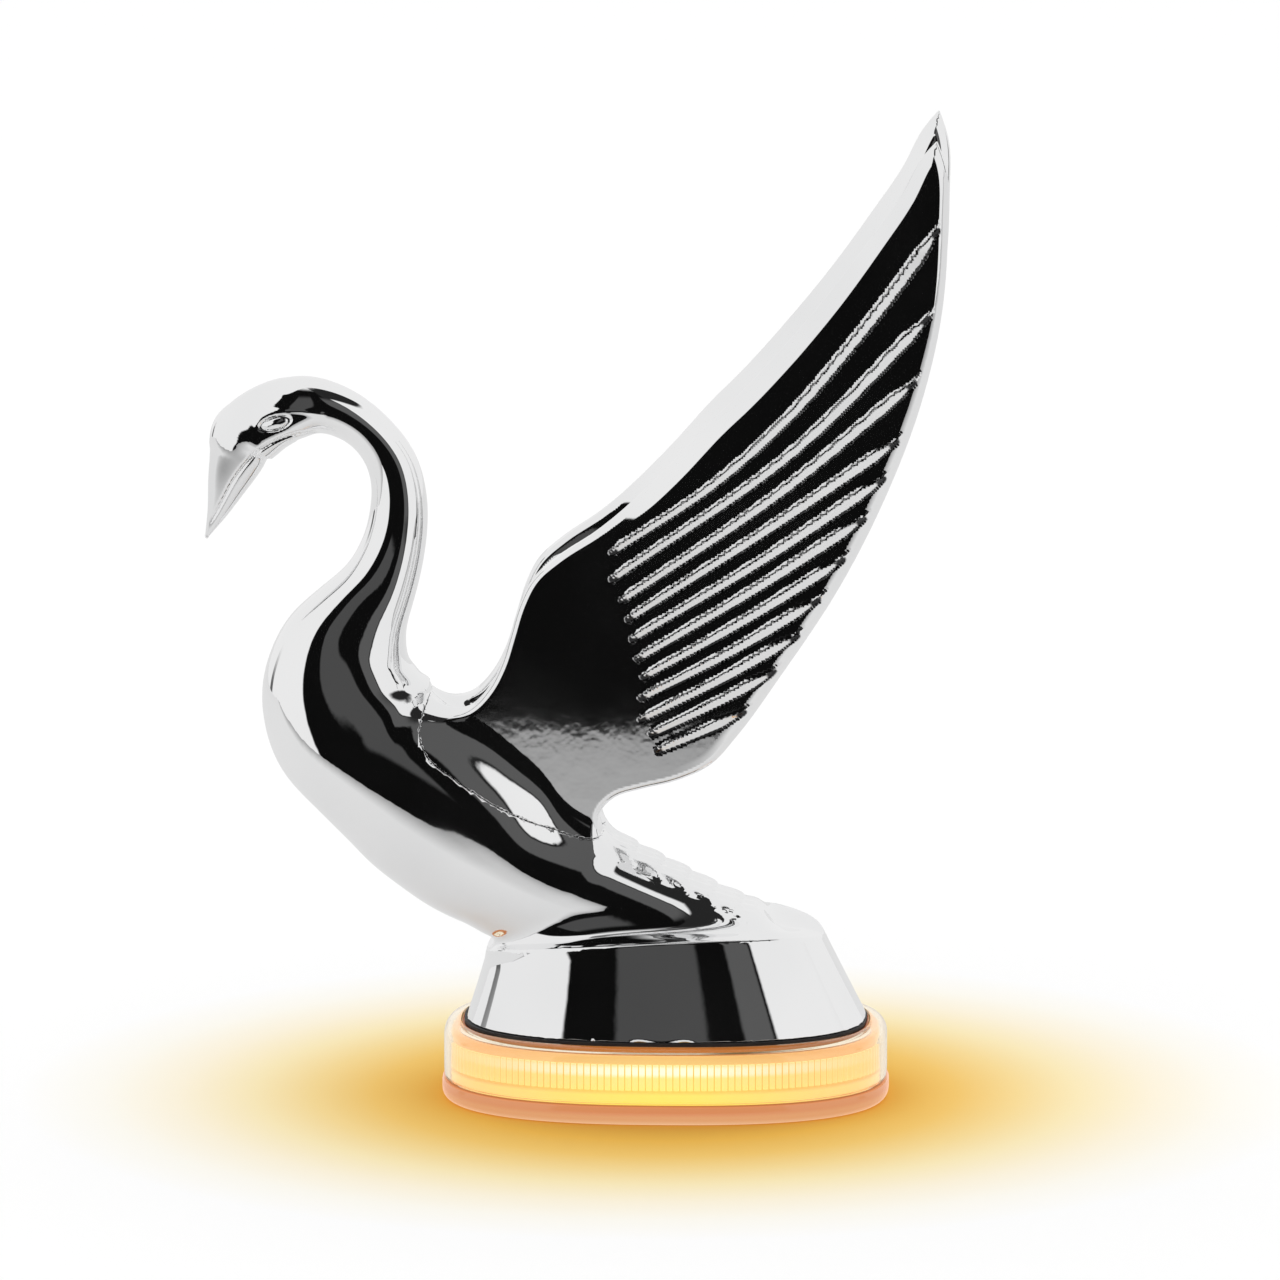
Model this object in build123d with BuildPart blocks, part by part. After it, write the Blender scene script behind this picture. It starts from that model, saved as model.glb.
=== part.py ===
from build123d import *
import math
import os

# Swan hood ornament on a light unit.  Millimetres.  The swan looks along -X and stands along +Z;
# the origin is the centre of the light unit's flat underside.

# ---- driving dimensions: light unit -------------------------------------------------------------
OVAL_POWER = 2.5             # every oval here is |x/a|^n + |y/b|^n = 1 with this n
OVAL_POINTS = 28             # points a plain oval is drawn through

PAD_THICK = 1.0
PAD_HALF = (43.0, 29.4)

TRAY_HALF = (47.6, 34.0)
TRAY_HEIGHT = 5.3
TRAY_FLOOR_Z = 2.6
TRAY_WALL = 2.0
TRAY_EDGE_RADIUS = 1.8

SEAL_THICK = 0.6
SEAL_HALF = (46.9, 33.3)
SEAL_WIDTH = 1.6

LENS_HALF = (47.2, 33.6)
LENS_TOP_Z = 17.5
LENS_WALL = 2.4
LENS_ROOF = 1.5
LENS_EDGE_RADIUS = 3.0
LENS_BASE_Z = TRAY_HEIGHT + SEAL_THICK
RECESS_DEPTH = 1.7           # the metal foot and its gasket stand in this recess
RECESS_HALF = (43.4, 29.4)
FLUTE_PITCH = 1.6            # light-spreading flutes on the lens's inner wall
FLUTE_DEPTH = 0.55

GASKET_HALF = (42.9, 29.0)
GASKET_THICK = 1.0
GASKET_WIDTH = 4.0

PAD_HOLE_RADIUS = 5.4
FIT_GAP = 0.2
SCREW_CLEARANCE = 0.2
HEAD_CLEARANCE = 0.9
BOARD_GAP = 0.5
SOCKET_SHARE = 0.55          # a screw's hexagon socket as a share of its head
LENS_BOSS_WALL = 1.0
GROMMET_BORE_RADIUS = 1.6
GROMMET_NECK_RADIUS = 3.1
GROMMET_FLANGE_RADIUS = 4.6
GROMMET_FLANGE = 0.8

# ---- driving dimensions: fastenings -------------------------------------------------------------
MOUNT_SPACING = 48.0         # two M6 holes for the vehicle's own bolts
MOUNT_TAP_RADIUS = 2.5
MOUNT_CLEAR_RADIUS = 3.4
MOUNT_TAP_DEPTH = 14.0
MOUNT_BOSS_RADIUS = 6.5
BOSS_HEIGHT = 17.0
RIB_HEIGHT = 14.2
RIB_WIDTH = 4.0
RIB_LENGTH_X = 12.5          # from a mount boss's centre into the foot's end wall
RIB_LENGTH_Y = 8.0           # from a retainer boss's centre into the foot's side wall
MOUNT_POST_RADIUS = 6.0

RETAINER_SPACING = 28.0      # two M4 screws that hold the light unit to the swan, across Y
RETAINER_RADIUS = 2.0
RETAINER_CLEAR_RADIUS = 2.3
RETAINER_POST_RADIUS = 6.0
RETAINER_BOSS_RADIUS = 4.6
RETAINER_HEAD_RADIUS = 3.6
RETAINER_HEAD_HEIGHT = 2.4
RETAINER_SEAT_Z = 4.5        # the washer bears on this shoulder inside the tray's post
RETAINER_TIP_Z = 25.0
WASHER_THICK = 0.8
WASHER_HALF_WIDTH = 2.0      # how far a washer reaches beyond its hole

LENS_POST_SPACING = (66.0, 24.0)
LENS_POST_RADIUS = 2.6
LENS_POST_BASE_Z = 4.0
LENS_SCREW_RADIUS = 1.2
LENS_SCREW_HEAD_RADIUS = 2.2
LENS_SCREW_SEAT_Z = 2.3
LENS_SCREW_TIP_Z = 11.0

WING_SCREW_RADIUS = 2.0      # M4 screws from the swan's hollow into the wing roots
WING_SCREW_XS = (-35.0, -21.0)
WING_SCREW_Y = 5.2
WING_SCREW_TIP_Z = 70.0

# ---- driving dimensions: circuit board ----------------------------------------------------------
BOARD_HALF = (40.5, 27.0)
BOARD_BASE_Z = 4.6
BOARD_THICK = 1.4
BOARD_TOP_Z = BOARD_BASE_Z + BOARD_THICK
BOARD_SCREW_PLACES = ((14.0, 15.0), (-14.0, -15.0))
BOARD_SCREW_RADIUS = 0.8
BOARD_STUD_RADIUS = 2.4
BOARD_SCREW_TIP_Z = 3.0
BOARD_SCREW_HEAD_RADIUS = 1.8
BOARD_SCREW_HEAD_HEIGHT = 1.1
LED_COUNT = 14
LED_RING_HALF = (34.0, 23.0)
LED_SIZE = (2.8, 3.5, 1.0)
LED_DOME_RADIUS = 1.2
LED_WINDOW_RADIUS = 2.0
REFLECTOR_BASE_Z = 8.0
REFLECTOR_THICK = 0.8
REFLECTOR_HALF = (40.0, 26.5)

# ---- driving dimensions: swan -------------------------------------------------------------------
FOOT_BASE_Z = 16.8
FOOT_CENTRE_X = 0.2
FOOT_HALF = (42.6, 28.6)
RIM_CENTRE_X = -2.4
RIM_HALF = (35.5, 23.5)
RIM_Z = 33.6                 # height of the skirt's top edge at its centre
RIM_TILT = math.degrees(math.atan2(3.9, 71.0))
FOOT_WALL = 3.2

# The body's stations from the beak to the tail: a point on the upper or back outline (x, z),
# the point across from it on the lower or breast outline (x, z), and the half width.
BODY_STATIONS = (
    (-95.7, 144.0, -84.0, 136.4, 5.4),
    (-92.6, 148.4, -80.4, 139.6, 6.4),
    (-85.6, 152.6, -76.6, 141.4, 7.2),
    (-77.1, 154.2, -73.4, 141.8, 7.0),
    (-67.3, 151.9, -70.0, 141.4, 6.0),
    (-58.4, 145.2, -66.0, 139.0, 5.4),
    (-52.7, 137.0, -63.2, 134.6, 5.4),
    (-50.5, 126.8, -62.4, 128.4, 5.9),
    (-51.1, 116.6, -64.2, 119.6, 6.4),
    (-52.7, 108.0, -68.4, 112.4, 7.4),
    (-54.0, 99.0, -74.6, 106.6, 9.6),
    (-52.6, 90.6, -82.6, 99.8, 13.4),
    (-47.6, 83.6, -87.6, 89.6, 17.4),
    (-41.0, 77.6, -87.2, 77.4, 20.2),
    (-33.0, 72.6, -80.6, 66.0, 21.8),
    (-24.0, 67.6, -68.4, 54.4, 22.6),
    (-14.0, 60.0, -51.0, 43.0, 22.2),
    (-1.0, 52.4, -27.0, 33.0, 19.6),
    (12.0, 45.8, -1.0, 30.0, 14.4),
    (21.0, 41.2, 15.0, 31.0, 8.6),
    (26.0, 38.6, 23.0, 34.0, 4.4),
)
BEAK_TIP_STATION = (-98.0, 120.6, -96.2, 119.8, 1.6)
STATION_POWER = 2.15         # the body's cross-sections are nearly elliptical
STATION_POINTS = 16
SHOULDER_TOP_Z = 50.0        # the body's flanks run out to the skirt's top edge below this
SHOULDER_CENTRE_X = -24.0
SHOULDER_HALF = (30.0, 18.0)
CAVITY_TOP_Z = 54.0
CAVITY_TOP_CENTRE_X = -31.0
CAVITY_TOP_HALF = (17.0, 11.0)

# ---- driving dimensions: wings ------------------------------------------------------------------
WING_LEADING_EDGE = (
    (-50.6, 84.0), (-45.3, 83.4), (-40.8, 85.4), (-37.0, 89.5), (-34.4, 95.0), (-31.6, 104.5),
    (-28.4, 112.4), (-23.0, 118.0), (-14.5, 123.6), (0.1, 137.0), (15.3, 153.0), (25.5, 164.2),
    (33.7, 174.2), (43.1, 187.0), (49.5, 196.3), (54.1, 205.0), (57.2, 208.4),
)
WING_TRAILING_EDGE = (
    (57.2, 208.4), (59.3, 203.0), (59.6, 187.0), (58.3, 171.0), (54.0, 151.6), (46.9, 132.1),
    (37.3, 112.4), (24.7, 92.7), (15.4, 79.6), (9.6, 73.2), (2.7, 70.2), (-6.0, 67.8),
    (-12.6, 65.0), (-14.2, 59.0),
)
WING_ROOT_EDGE = (
    (-14.2, 59.0), (-20.0, 58.4), (-30.0, 61.0), (-40.0, 67.4), (-47.6, 74.0), (-51.6, 79.6),
    (-50.6, 84.0),
)
# Height, distance of the wing's outer face from the centre plane, and thickness there.
WING_SECTION = (
    (52.0, 10.4, 10.0), (70.0, 10.8, 9.6), (90.0, 12.2, 7.6), (115.0, 15.0, 5.8),
    (145.0, 18.8, 4.8), (175.0, 22.4, 4.0), (212.0, 26.6, 3.2),
)
WING_EDGE_RADIUS = 0.9
WING_REACH = 40.0            # past the wing's furthest point from the centre plane
WING_LENGTH = 130.0
FEATHER_GROOVE_WIDTH = 2.1
FEATHER_GROOVE_DEPTH = 0.8
# Each feather groove runs from its rounded root end to its tip by way of one middle point.
FEATHER_GROOVES = (
    ((-10.6, 119.6), (32.0, 155.0), (57.0, 187.0)),
    ((-10.6, 113.7), (28.0, 142.0), (55.2, 169.6)),
    ((-8.7, 109.1), (24.6, 132.6), (52.2, 156.0)),
    ((-7.3, 105.1), (22.0, 124.6), (48.6, 143.2)),
    ((-6.5, 100.8), (21.0, 118.0), (45.6, 134.6)),
    ((-5.4, 96.5), (19.6, 111.8), (41.6, 126.2)),
    ((-4.1, 92.6), (18.0, 105.4), (37.2, 117.4)),
    ((-4.6, 88.0), (15.2, 98.6), (32.2, 108.8)),
    ((-4.6, 83.4), (13.0, 92.6), (27.8, 101.0)),
    ((-2.4, 80.3), (11.6, 87.2), (23.0, 93.2)),
    ((-1.3, 76.6), (8.6, 81.0), (16.8, 84.6)),
)


def oval_points(half, count, power=OVAL_POWER):
    """Points on an oval, evenly spread by angle parameter."""
    points = []
    for i in range(count):
        turn = 2 * math.pi * i / count
        c, s = math.cos(turn), math.sin(turn)
        x = half[0] * math.copysign(abs(c) ** (2 / power), c)
        y = half[1] * math.copysign(abs(s) ** (2 / power), s)
        points.append((x, y))
    return points


def oval(half, growth=0.0, count=OVAL_POINTS, power=OVAL_POWER):
    """A filled oval of the given half length and half width, each larger by growth."""
    grown = (half[0] + growth, half[1] + growth)
    with BuildSketch() as shape:
        with BuildLine():
            Spline(*oval_points(grown, count, power), periodic=True)
        make_face()
    return shape.sketch


def discs(places, radius):
    """Equal filled circles at the given places."""
    with BuildSketch() as shape:
        with Locations(*places):
            Circle(radius)
    return shape.sketch


def fluted_points(half, pitch, depth):
    """An oval whose line zigzags inwards by depth once in every pitch."""
    fine = oval_points(half, 2000)
    fine.append(fine[0])
    run = [0.0]
    for a, b in zip(fine, fine[1:]):
        run.append(run[-1] + math.dist(a, b))
    steps = 2 * round(run[-1] / pitch)
    points, k = [], 0
    for i in range(steps):
        target = run[-1] * i / steps
        while run[k + 1] < target:
            k += 1
        x, y = fine[k]
        if i % 2:
            reach = math.hypot(x, y)
            x, y = x * (1 - depth / reach), y * (1 - depth / reach)
        points.append((x, y))
    return points


def oval_places(half, count, start=0.0):
    """Locations round an oval, equally far apart, each facing outwards."""
    fine = oval_points(half, 2000)
    run = [0.0]
    for a, b in zip(fine, fine[1:] + fine[:1]):
        run.append(run[-1] + math.dist(a, b))
    places, k = [], 0
    for i in range(count):
        target = run[-1] * (i + start) / count
        while run[k + 1] < target:
            k += 1
        x, y = fine[k]
        ahead = fine[(k + 1) % len(fine)]
        facing = math.degrees(math.atan2(ahead[1] - y, ahead[0] - x)) - 90
        places.append(Location((x, y, 0), (0, 0, facing)))
    return places


def save(builder, label):
    """Label a finished piece and write it as its own STEP file."""
    builder.part.label = label
    export_step(builder.part, f"parts/{label}.step")


os.makedirs("parts", exist_ok=True)

mount_places = [(-MOUNT_SPACING / 2, 0), (MOUNT_SPACING / 2, 0)]
retainer_places = [(0, -RETAINER_SPACING / 2), (0, RETAINER_SPACING / 2)]
lens_post_places = [
    (sx * LENS_POST_SPACING[0] / 2, sy * LENS_POST_SPACING[1] / 2) for sx in (-1, 1) for sy in (-1, 1)
]
wing_screw_places = [(x, side * WING_SCREW_Y) for x in WING_SCREW_XS for side in (-1, 1)]
recess_floor_z = LENS_TOP_Z - RECESS_DEPTH
post_top_z = recess_floor_z - LENS_ROOF
rim_plane = Plane(origin=(RIM_CENTRE_X, 0, RIM_Z), z_dir=(0, 0, 1)).rotated((0, -RIM_TILT, 0))


# ---- foam pad under the tray --------------------------------------------------------------------
with BuildPart() as foam_pad:
    with BuildSketch():
        add(oval(PAD_HALF))
        add(discs(mount_places + retainer_places + [(0, 0)], PAD_HOLE_RADIUS), mode=Mode.SUBTRACT)
        add(discs(lens_post_places, LENS_POST_RADIUS), mode=Mode.SUBTRACT)
    extrude(amount=PAD_THICK)
save(foam_pad, "foam_pad")

# ---- tray ---------------------------------------------------------------------------------------
with BuildPart() as lens_tray:
    with BuildSketch():
        add(oval(TRAY_HALF))
    extrude(amount=TRAY_HEIGHT)
    fillet(lens_tray.edges().group_by(Axis.Z)[0], TRAY_EDGE_RADIUS)
    with BuildSketch(Plane.XY.offset(TRAY_FLOOR_Z)):
        add(oval(TRAY_HALF, -TRAY_WALL))
    extrude(amount=TRAY_HEIGHT, mode=Mode.SUBTRACT)
    with BuildSketch():
        add(oval(PAD_HALF, FIT_GAP))
    extrude(amount=PAD_THICK, mode=Mode.SUBTRACT)
    # posts that carry the clamping load straight through the light unit
    with BuildSketch(Plane.XY.offset(PAD_THICK)):
        with Locations(*mount_places):
            Circle(MOUNT_POST_RADIUS)
        with Locations(*retainer_places):
            Circle(RETAINER_POST_RADIUS)
    extrude(amount=post_top_z - PAD_THICK)
    with BuildSketch(Plane.XY.offset(PAD_THICK)):
        with Locations(*lens_post_places):
            Circle(LENS_POST_RADIUS + LENS_BOSS_WALL)
    extrude(amount=LENS_POST_BASE_Z - PAD_THICK)
    with BuildSketch(Plane.XY.offset(PAD_THICK)):
        with Locations(*BOARD_SCREW_PLACES):
            Circle(BOARD_STUD_RADIUS)
    extrude(amount=BOARD_BASE_Z - PAD_THICK)
    with Locations(*mount_places):
        Hole(MOUNT_CLEAR_RADIUS)
    with Locations(*retainer_places):
        Hole(RETAINER_CLEAR_RADIUS)
    with Locations(*lens_post_places):
        Hole(LENS_SCREW_RADIUS + SCREW_CLEARANCE)
    with Locations((0, 0)):
        Hole(GROMMET_NECK_RADIUS)
    # counterbores for the screw heads, open below
    with BuildSketch():
        with Locations(*retainer_places):
            Circle(RETAINER_HEAD_RADIUS + HEAD_CLEARANCE)
    extrude(amount=RETAINER_SEAT_Z, mode=Mode.SUBTRACT)
    with BuildSketch():
        with Locations(*lens_post_places):
            Circle(LENS_SCREW_HEAD_RADIUS + FIT_GAP)
    extrude(amount=LENS_SCREW_SEAT_Z, mode=Mode.SUBTRACT)
    with BuildSketch(Plane.XY.offset(BOARD_SCREW_TIP_Z)):
        with Locations(*BOARD_SCREW_PLACES):
            Circle(BOARD_SCREW_RADIUS)
    extrude(amount=BOARD_BASE_Z - BOARD_SCREW_TIP_Z, mode=Mode.SUBTRACT)
save(lens_tray, "lens_tray")

# ---- wire grommet in the tray's floor -----------------------------------------------------------
with BuildPart() as wire_grommet:
    with BuildSketch(Plane.XZ):
        with BuildLine():
            Polyline(
                (GROMMET_BORE_RADIUS, PAD_THICK - GROMMET_FLANGE),
                (GROMMET_FLANGE_RADIUS, PAD_THICK - GROMMET_FLANGE),
                (GROMMET_FLANGE_RADIUS, PAD_THICK),
                (GROMMET_NECK_RADIUS, PAD_THICK),
                (GROMMET_NECK_RADIUS, TRAY_FLOOR_Z),
                (GROMMET_FLANGE_RADIUS, TRAY_FLOOR_Z),
                (GROMMET_FLANGE_RADIUS, TRAY_FLOOR_Z + GROMMET_FLANGE),
                (GROMMET_BORE_RADIUS, TRAY_FLOOR_Z + GROMMET_FLANGE),
                close=True,
            )
        make_face()
    revolve(axis=Axis.Z)
save(wire_grommet, "wire_grommet")

# ---- seal between tray and lens -----------------------------------------------------------------
with BuildPart() as lens_seal:
    with BuildSketch(Plane.XY.offset(TRAY_HEIGHT)):
        add(oval(SEAL_HALF))
        add(oval(SEAL_HALF, -SEAL_WIDTH), mode=Mode.SUBTRACT)
    extrude(amount=SEAL_THICK)
save(lens_seal, "lens_seal")

# ---- lens ---------------------------------------------------------------------------------------
with BuildPart() as lens:
    with BuildSketch(Plane.XY.offset(LENS_BASE_Z)):
        add(oval(LENS_HALF))
    extrude(amount=LENS_TOP_Z - LENS_BASE_Z)
    fillet(lens.edges().group_by(Axis.Z)[-1], LENS_EDGE_RADIUS)
    with BuildSketch(Plane.XY.offset(recess_floor_z)):
        add(oval(RECESS_HALF))
    extrude(amount=RECESS_DEPTH, mode=Mode.SUBTRACT)
    with BuildSketch(Plane.XY.offset(LENS_BASE_Z)):
        with BuildLine():
            inner = (LENS_HALF[0] - LENS_WALL, LENS_HALF[1] - LENS_WALL)
            Polyline(*fluted_points(inner, FLUTE_PITCH, FLUTE_DEPTH), close=True)
        make_face()
    extrude(amount=post_top_z - LENS_BASE_Z, mode=Mode.SUBTRACT)
    with BuildSketch(Plane.XY.offset(LENS_POST_BASE_Z)):
        with Locations(*lens_post_places):
            Circle(LENS_POST_RADIUS)
    extrude(amount=post_top_z - LENS_POST_BASE_Z)
    with BuildSketch(Plane.XY.offset(LENS_POST_BASE_Z)):
        with Locations(*lens_post_places):
            Circle(LENS_SCREW_RADIUS)
    extrude(amount=LENS_SCREW_TIP_Z - LENS_POST_BASE_Z, mode=Mode.SUBTRACT)
    with Locations(*mount_places):
        Hole(MOUNT_CLEAR_RADIUS)
    with Locations(*retainer_places):
        Hole(RETAINER_CLEAR_RADIUS)
save(lens, "lens")

# ---- rubber gasket under the metal foot ---------------------------------------------------------
with BuildPart() as foot_gasket:
    with BuildSketch(Plane.XY.offset(recess_floor_z)):
        add(oval(GASKET_HALF))
        add(discs(mount_places, MOUNT_CLEAR_RADIUS), mode=Mode.SUBTRACT)
        add(discs(retainer_places, RETAINER_CLEAR_RADIUS), mode=Mode.SUBTRACT)
    extrude(amount=GASKET_THICK)
save(foot_gasket, "foot_gasket")

# ---- circuit board and what is on it ------------------------------------------------------------
with BuildPart() as circuit_board:
    with BuildSketch(Plane.XY.offset(BOARD_BASE_Z)):
        add(oval(BOARD_HALF))
        add(discs(mount_places, MOUNT_POST_RADIUS + BOARD_GAP), mode=Mode.SUBTRACT)
        add(discs(retainer_places, RETAINER_POST_RADIUS + BOARD_GAP), mode=Mode.SUBTRACT)
        add(discs(lens_post_places, LENS_POST_RADIUS + BOARD_GAP), mode=Mode.SUBTRACT)
        add(discs(BOARD_SCREW_PLACES, BOARD_SCREW_RADIUS + SCREW_CLEARANCE), mode=Mode.SUBTRACT)
        add(discs([(0, 0)], GROMMET_BORE_RADIUS), mode=Mode.SUBTRACT)
    extrude(amount=BOARD_THICK)
save(circuit_board, "circuit_board")

led_places = oval_places(LED_RING_HALF, LED_COUNT, start=0.5)

with BuildPart() as led_packages:
    with Locations(Location((0, 0, BOARD_TOP_Z))):
        with Locations(*led_places):
            Box(*LED_SIZE, align=(Align.CENTER, Align.CENTER, Align.MIN))
save(led_packages, "led_packages")

with BuildPart() as led_domes:
    with Locations(Location((0, 0, BOARD_TOP_Z + LED_SIZE[2]))):
        with Locations(*led_places):
            Sphere(LED_DOME_RADIUS, arc_size1=0, align=(Align.CENTER, Align.CENTER, Align.MIN))
save(led_domes, "led_domes")

with BuildPart() as reflector:
    with BuildSketch(Plane.XY.offset(BOARD_TOP_Z)):
        add(oval(REFLECTOR_HALF))
        add(oval(REFLECTOR_HALF, -REFLECTOR_THICK), mode=Mode.SUBTRACT)
    extrude(amount=REFLECTOR_BASE_Z - BOARD_TOP_Z)
    with BuildSketch(Plane.XY.offset(REFLECTOR_BASE_Z)):
        add(oval(REFLECTOR_HALF))
        add(discs(mount_places, MOUNT_POST_RADIUS + BOARD_GAP), mode=Mode.SUBTRACT)
        add(discs(retainer_places, RETAINER_POST_RADIUS + BOARD_GAP), mode=Mode.SUBTRACT)
        add(discs(lens_post_places, LENS_POST_RADIUS + BOARD_GAP), mode=Mode.SUBTRACT)
        with Locations(*led_places):
            Circle(LED_WINDOW_RADIUS, mode=Mode.SUBTRACT)
    extrude(amount=REFLECTOR_THICK)
save(reflector, "reflector")

# These hang under the board: label, size along X, Y and Z, and places.
CHIP_PARTS = (
    ("resistors", (3.2, 1.6, 0.6), [(x, y) for x in (-26, -20, -14) for y in (-19, 19)]),
    ("capacitors", (3.2, 2.5, 1.2), [(24, -18), (24, 18)]),
    ("rectifier_diode", (4.5, 2.6, 1.1), [(14, -19)]),
    ("voltage_regulator", (6.4, 6.0, 1.5), [(11, 0)]),
    ("wire_terminals", (2.2, 2.2, 0.5), [(-9, -3), (-9, 3)]),
)
for label, size, places in CHIP_PARTS:
    with BuildPart(Plane.XY.offset(BOARD_BASE_Z)) as chip:
        with Locations(*places):
            Box(*size, align=(Align.CENTER, Align.CENTER, Align.MAX))
    save(chip, label)

# ---- fasteners ----------------------------------------------------------------------------------


def screw(label, places, seat_z, tip_z, radius, head_radius, head_height, points_up=True):
    """A group of socket-head screws whose heads bear on seat_z and whose shanks end at tip_z."""
    way = 1 if points_up else -1
    with BuildPart() as group:
        with BuildSketch(Plane.XY.offset(seat_z)):
            with Locations(*places):
                Circle(radius)
        extrude(amount=tip_z - seat_z)
        with BuildSketch(Plane.XY.offset(seat_z)):
            with Locations(*places):
                Circle(head_radius)
        extrude(amount=-way * head_height)
        with BuildSketch(Plane.XY.offset(seat_z - way * head_height)):
            with Locations(*places):
                RegularPolygon(head_radius * SOCKET_SHARE, 6)
        extrude(amount=way * head_height * SOCKET_SHARE, mode=Mode.SUBTRACT)
    save(group, label)


def washers(label, places, base_z, hole_radius):
    """A group of plain washers lying on base_z."""
    with BuildPart() as group:
        with BuildSketch(Plane.XY.offset(base_z)):
            with Locations(*places):
                Circle(hole_radius + WASHER_HALF_WIDTH)
                Circle(hole_radius, mode=Mode.SUBTRACT)
        extrude(amount=WASHER_THICK)
    save(group, label)


screw("lens_screws", lens_post_places, LENS_SCREW_SEAT_Z, LENS_SCREW_TIP_Z,
      LENS_SCREW_RADIUS, LENS_SCREW_HEAD_RADIUS, LENS_SCREW_SEAT_Z - PAD_THICK)
screw("board_screws", BOARD_SCREW_PLACES, BOARD_TOP_Z, BOARD_SCREW_TIP_Z,
      BOARD_SCREW_RADIUS, BOARD_SCREW_HEAD_RADIUS, BOARD_SCREW_HEAD_HEIGHT, points_up=False)
screw("retaining_screws", retainer_places, RETAINER_SEAT_Z - WASHER_THICK, RETAINER_TIP_Z,
      RETAINER_RADIUS, RETAINER_HEAD_RADIUS, RETAINER_HEAD_HEIGHT)
washers("retaining_washers", retainer_places, RETAINER_SEAT_Z - WASHER_THICK, RETAINER_RADIUS + FIT_GAP)
screw("wing_screws", wing_screw_places, CAVITY_TOP_Z - WASHER_THICK, WING_SCREW_TIP_Z,
      WING_SCREW_RADIUS, RETAINER_HEAD_RADIUS, RETAINER_HEAD_HEIGHT)
washers("wing_washers", wing_screw_places, CAVITY_TOP_Z - WASHER_THICK, WING_SCREW_RADIUS + FIT_GAP)

# ---- wings --------------------------------------------------------------------------------------
faces_y = [(-face, z) for z, face, thick in WING_SECTION]
backs_y = [(-face + thick, z) for z, face, thick in WING_SECTION]


def band(first, second, first_shift=0.0, second_shift=0.0):
    """The face between two upright curves, each shifted sideways."""
    one = [(y + first_shift, z) for y, z in first]
    two = [(y + second_shift, z) for y, z in second]
    with BuildSketch() as shape:
        with BuildLine():
            Spline(*one)
            Spline(*two)
            Line(one[0], two[0])
            Line(one[-1], two[-1])
        make_face()
    return shape.sketch


with BuildPart() as wing_blank:
    with BuildSketch(Plane.XZ):
        with BuildLine():
            Spline(*WING_LEADING_EDGE)
            Spline(*WING_TRAILING_EDGE)
            Spline(*WING_ROOT_EDGE)
        make_face()
    extrude(amount=WING_REACH)
    with BuildSketch(Plane.YZ):
        add(band(faces_y, backs_y))
    extrude(amount=WING_LENGTH, both=True, mode=Mode.INTERSECT)
    fillet(wing_blank.edges().filter_by(lambda edge: edge.length > 20), WING_EDGE_RADIUS)

with BuildPart() as groove_cutter:
    with BuildSketch(Plane.XZ):
        for root, middle, tip in FEATHER_GROOVES:
            with BuildLine(mode=Mode.PRIVATE) as path:
                Spline(root, middle, tip)
            trace(path.line, FEATHER_GROOVE_WIDTH)
    extrude(amount=WING_REACH)
    with BuildSketch(Plane.YZ):
        add(band(faces_y, faces_y, -FEATHER_GROOVE_DEPTH, FEATHER_GROOVE_DEPTH))
        add(band(backs_y, backs_y, -FEATHER_GROOVE_DEPTH, FEATHER_GROOVE_DEPTH))
    extrude(amount=WING_LENGTH, both=True, mode=Mode.INTERSECT)

with BuildPart() as left_wing:
    add(wing_blank.part)
    add(groove_cutter.part, mode=Mode.SUBTRACT)
    with BuildSketch(Plane.XY.offset(CAVITY_TOP_Z)):
        with Locations(*[(x, -WING_SCREW_Y) for x in WING_SCREW_XS]):
            Circle(WING_SCREW_RADIUS)
    extrude(amount=WING_SCREW_TIP_Z - CAVITY_TOP_Z, mode=Mode.SUBTRACT)
save(left_wing, "left_wing")

with BuildPart() as right_wing:
    add(left_wing.part)
    mirror(about=Plane.XZ, mode=Mode.REPLACE)
save(right_wing, "right_wing")

# ---- swan body and flared foot, one hollow casting ----------------------------------------------


def loft_stations(stations, ruled=False):
    """A solid through upright sections that stand across the body from back to breast."""
    with BuildPart() as solid:
        for back_x, back_z, front_x, front_z, half_width in stations:
            span_x, span_z = back_x - front_x, back_z - front_z
            middle = ((back_x + front_x) / 2, 0, (back_z + front_z) / 2)
            plane = Plane(origin=middle, x_dir=(span_x, 0, span_z), z_dir=(span_z, 0, -span_x))
            half = (math.hypot(span_x, span_z) / 2, half_width)
            with BuildSketch(plane):
                add(oval(half, count=STATION_POINTS, power=STATION_POWER))
        loft(ruled=ruled)
    return solid.part


def level(z, centre_x):
    """A level plane at height z whose origin is centre_x along the ornament."""
    return Plane(origin=(centre_x, 0, z))


def loft_ovals(*stages):
    """A solid through ovals, each given as a plane and its half sizes."""
    with BuildPart() as solid:
        for plane, half in stages:
            with BuildSketch(plane):
                add(oval(half))
        loft()
    return solid.part


def shrunk(half, wall):
    """Half sizes drawn in by a wall's thickness."""
    return half[0] - wall, half[1] - wall


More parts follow.
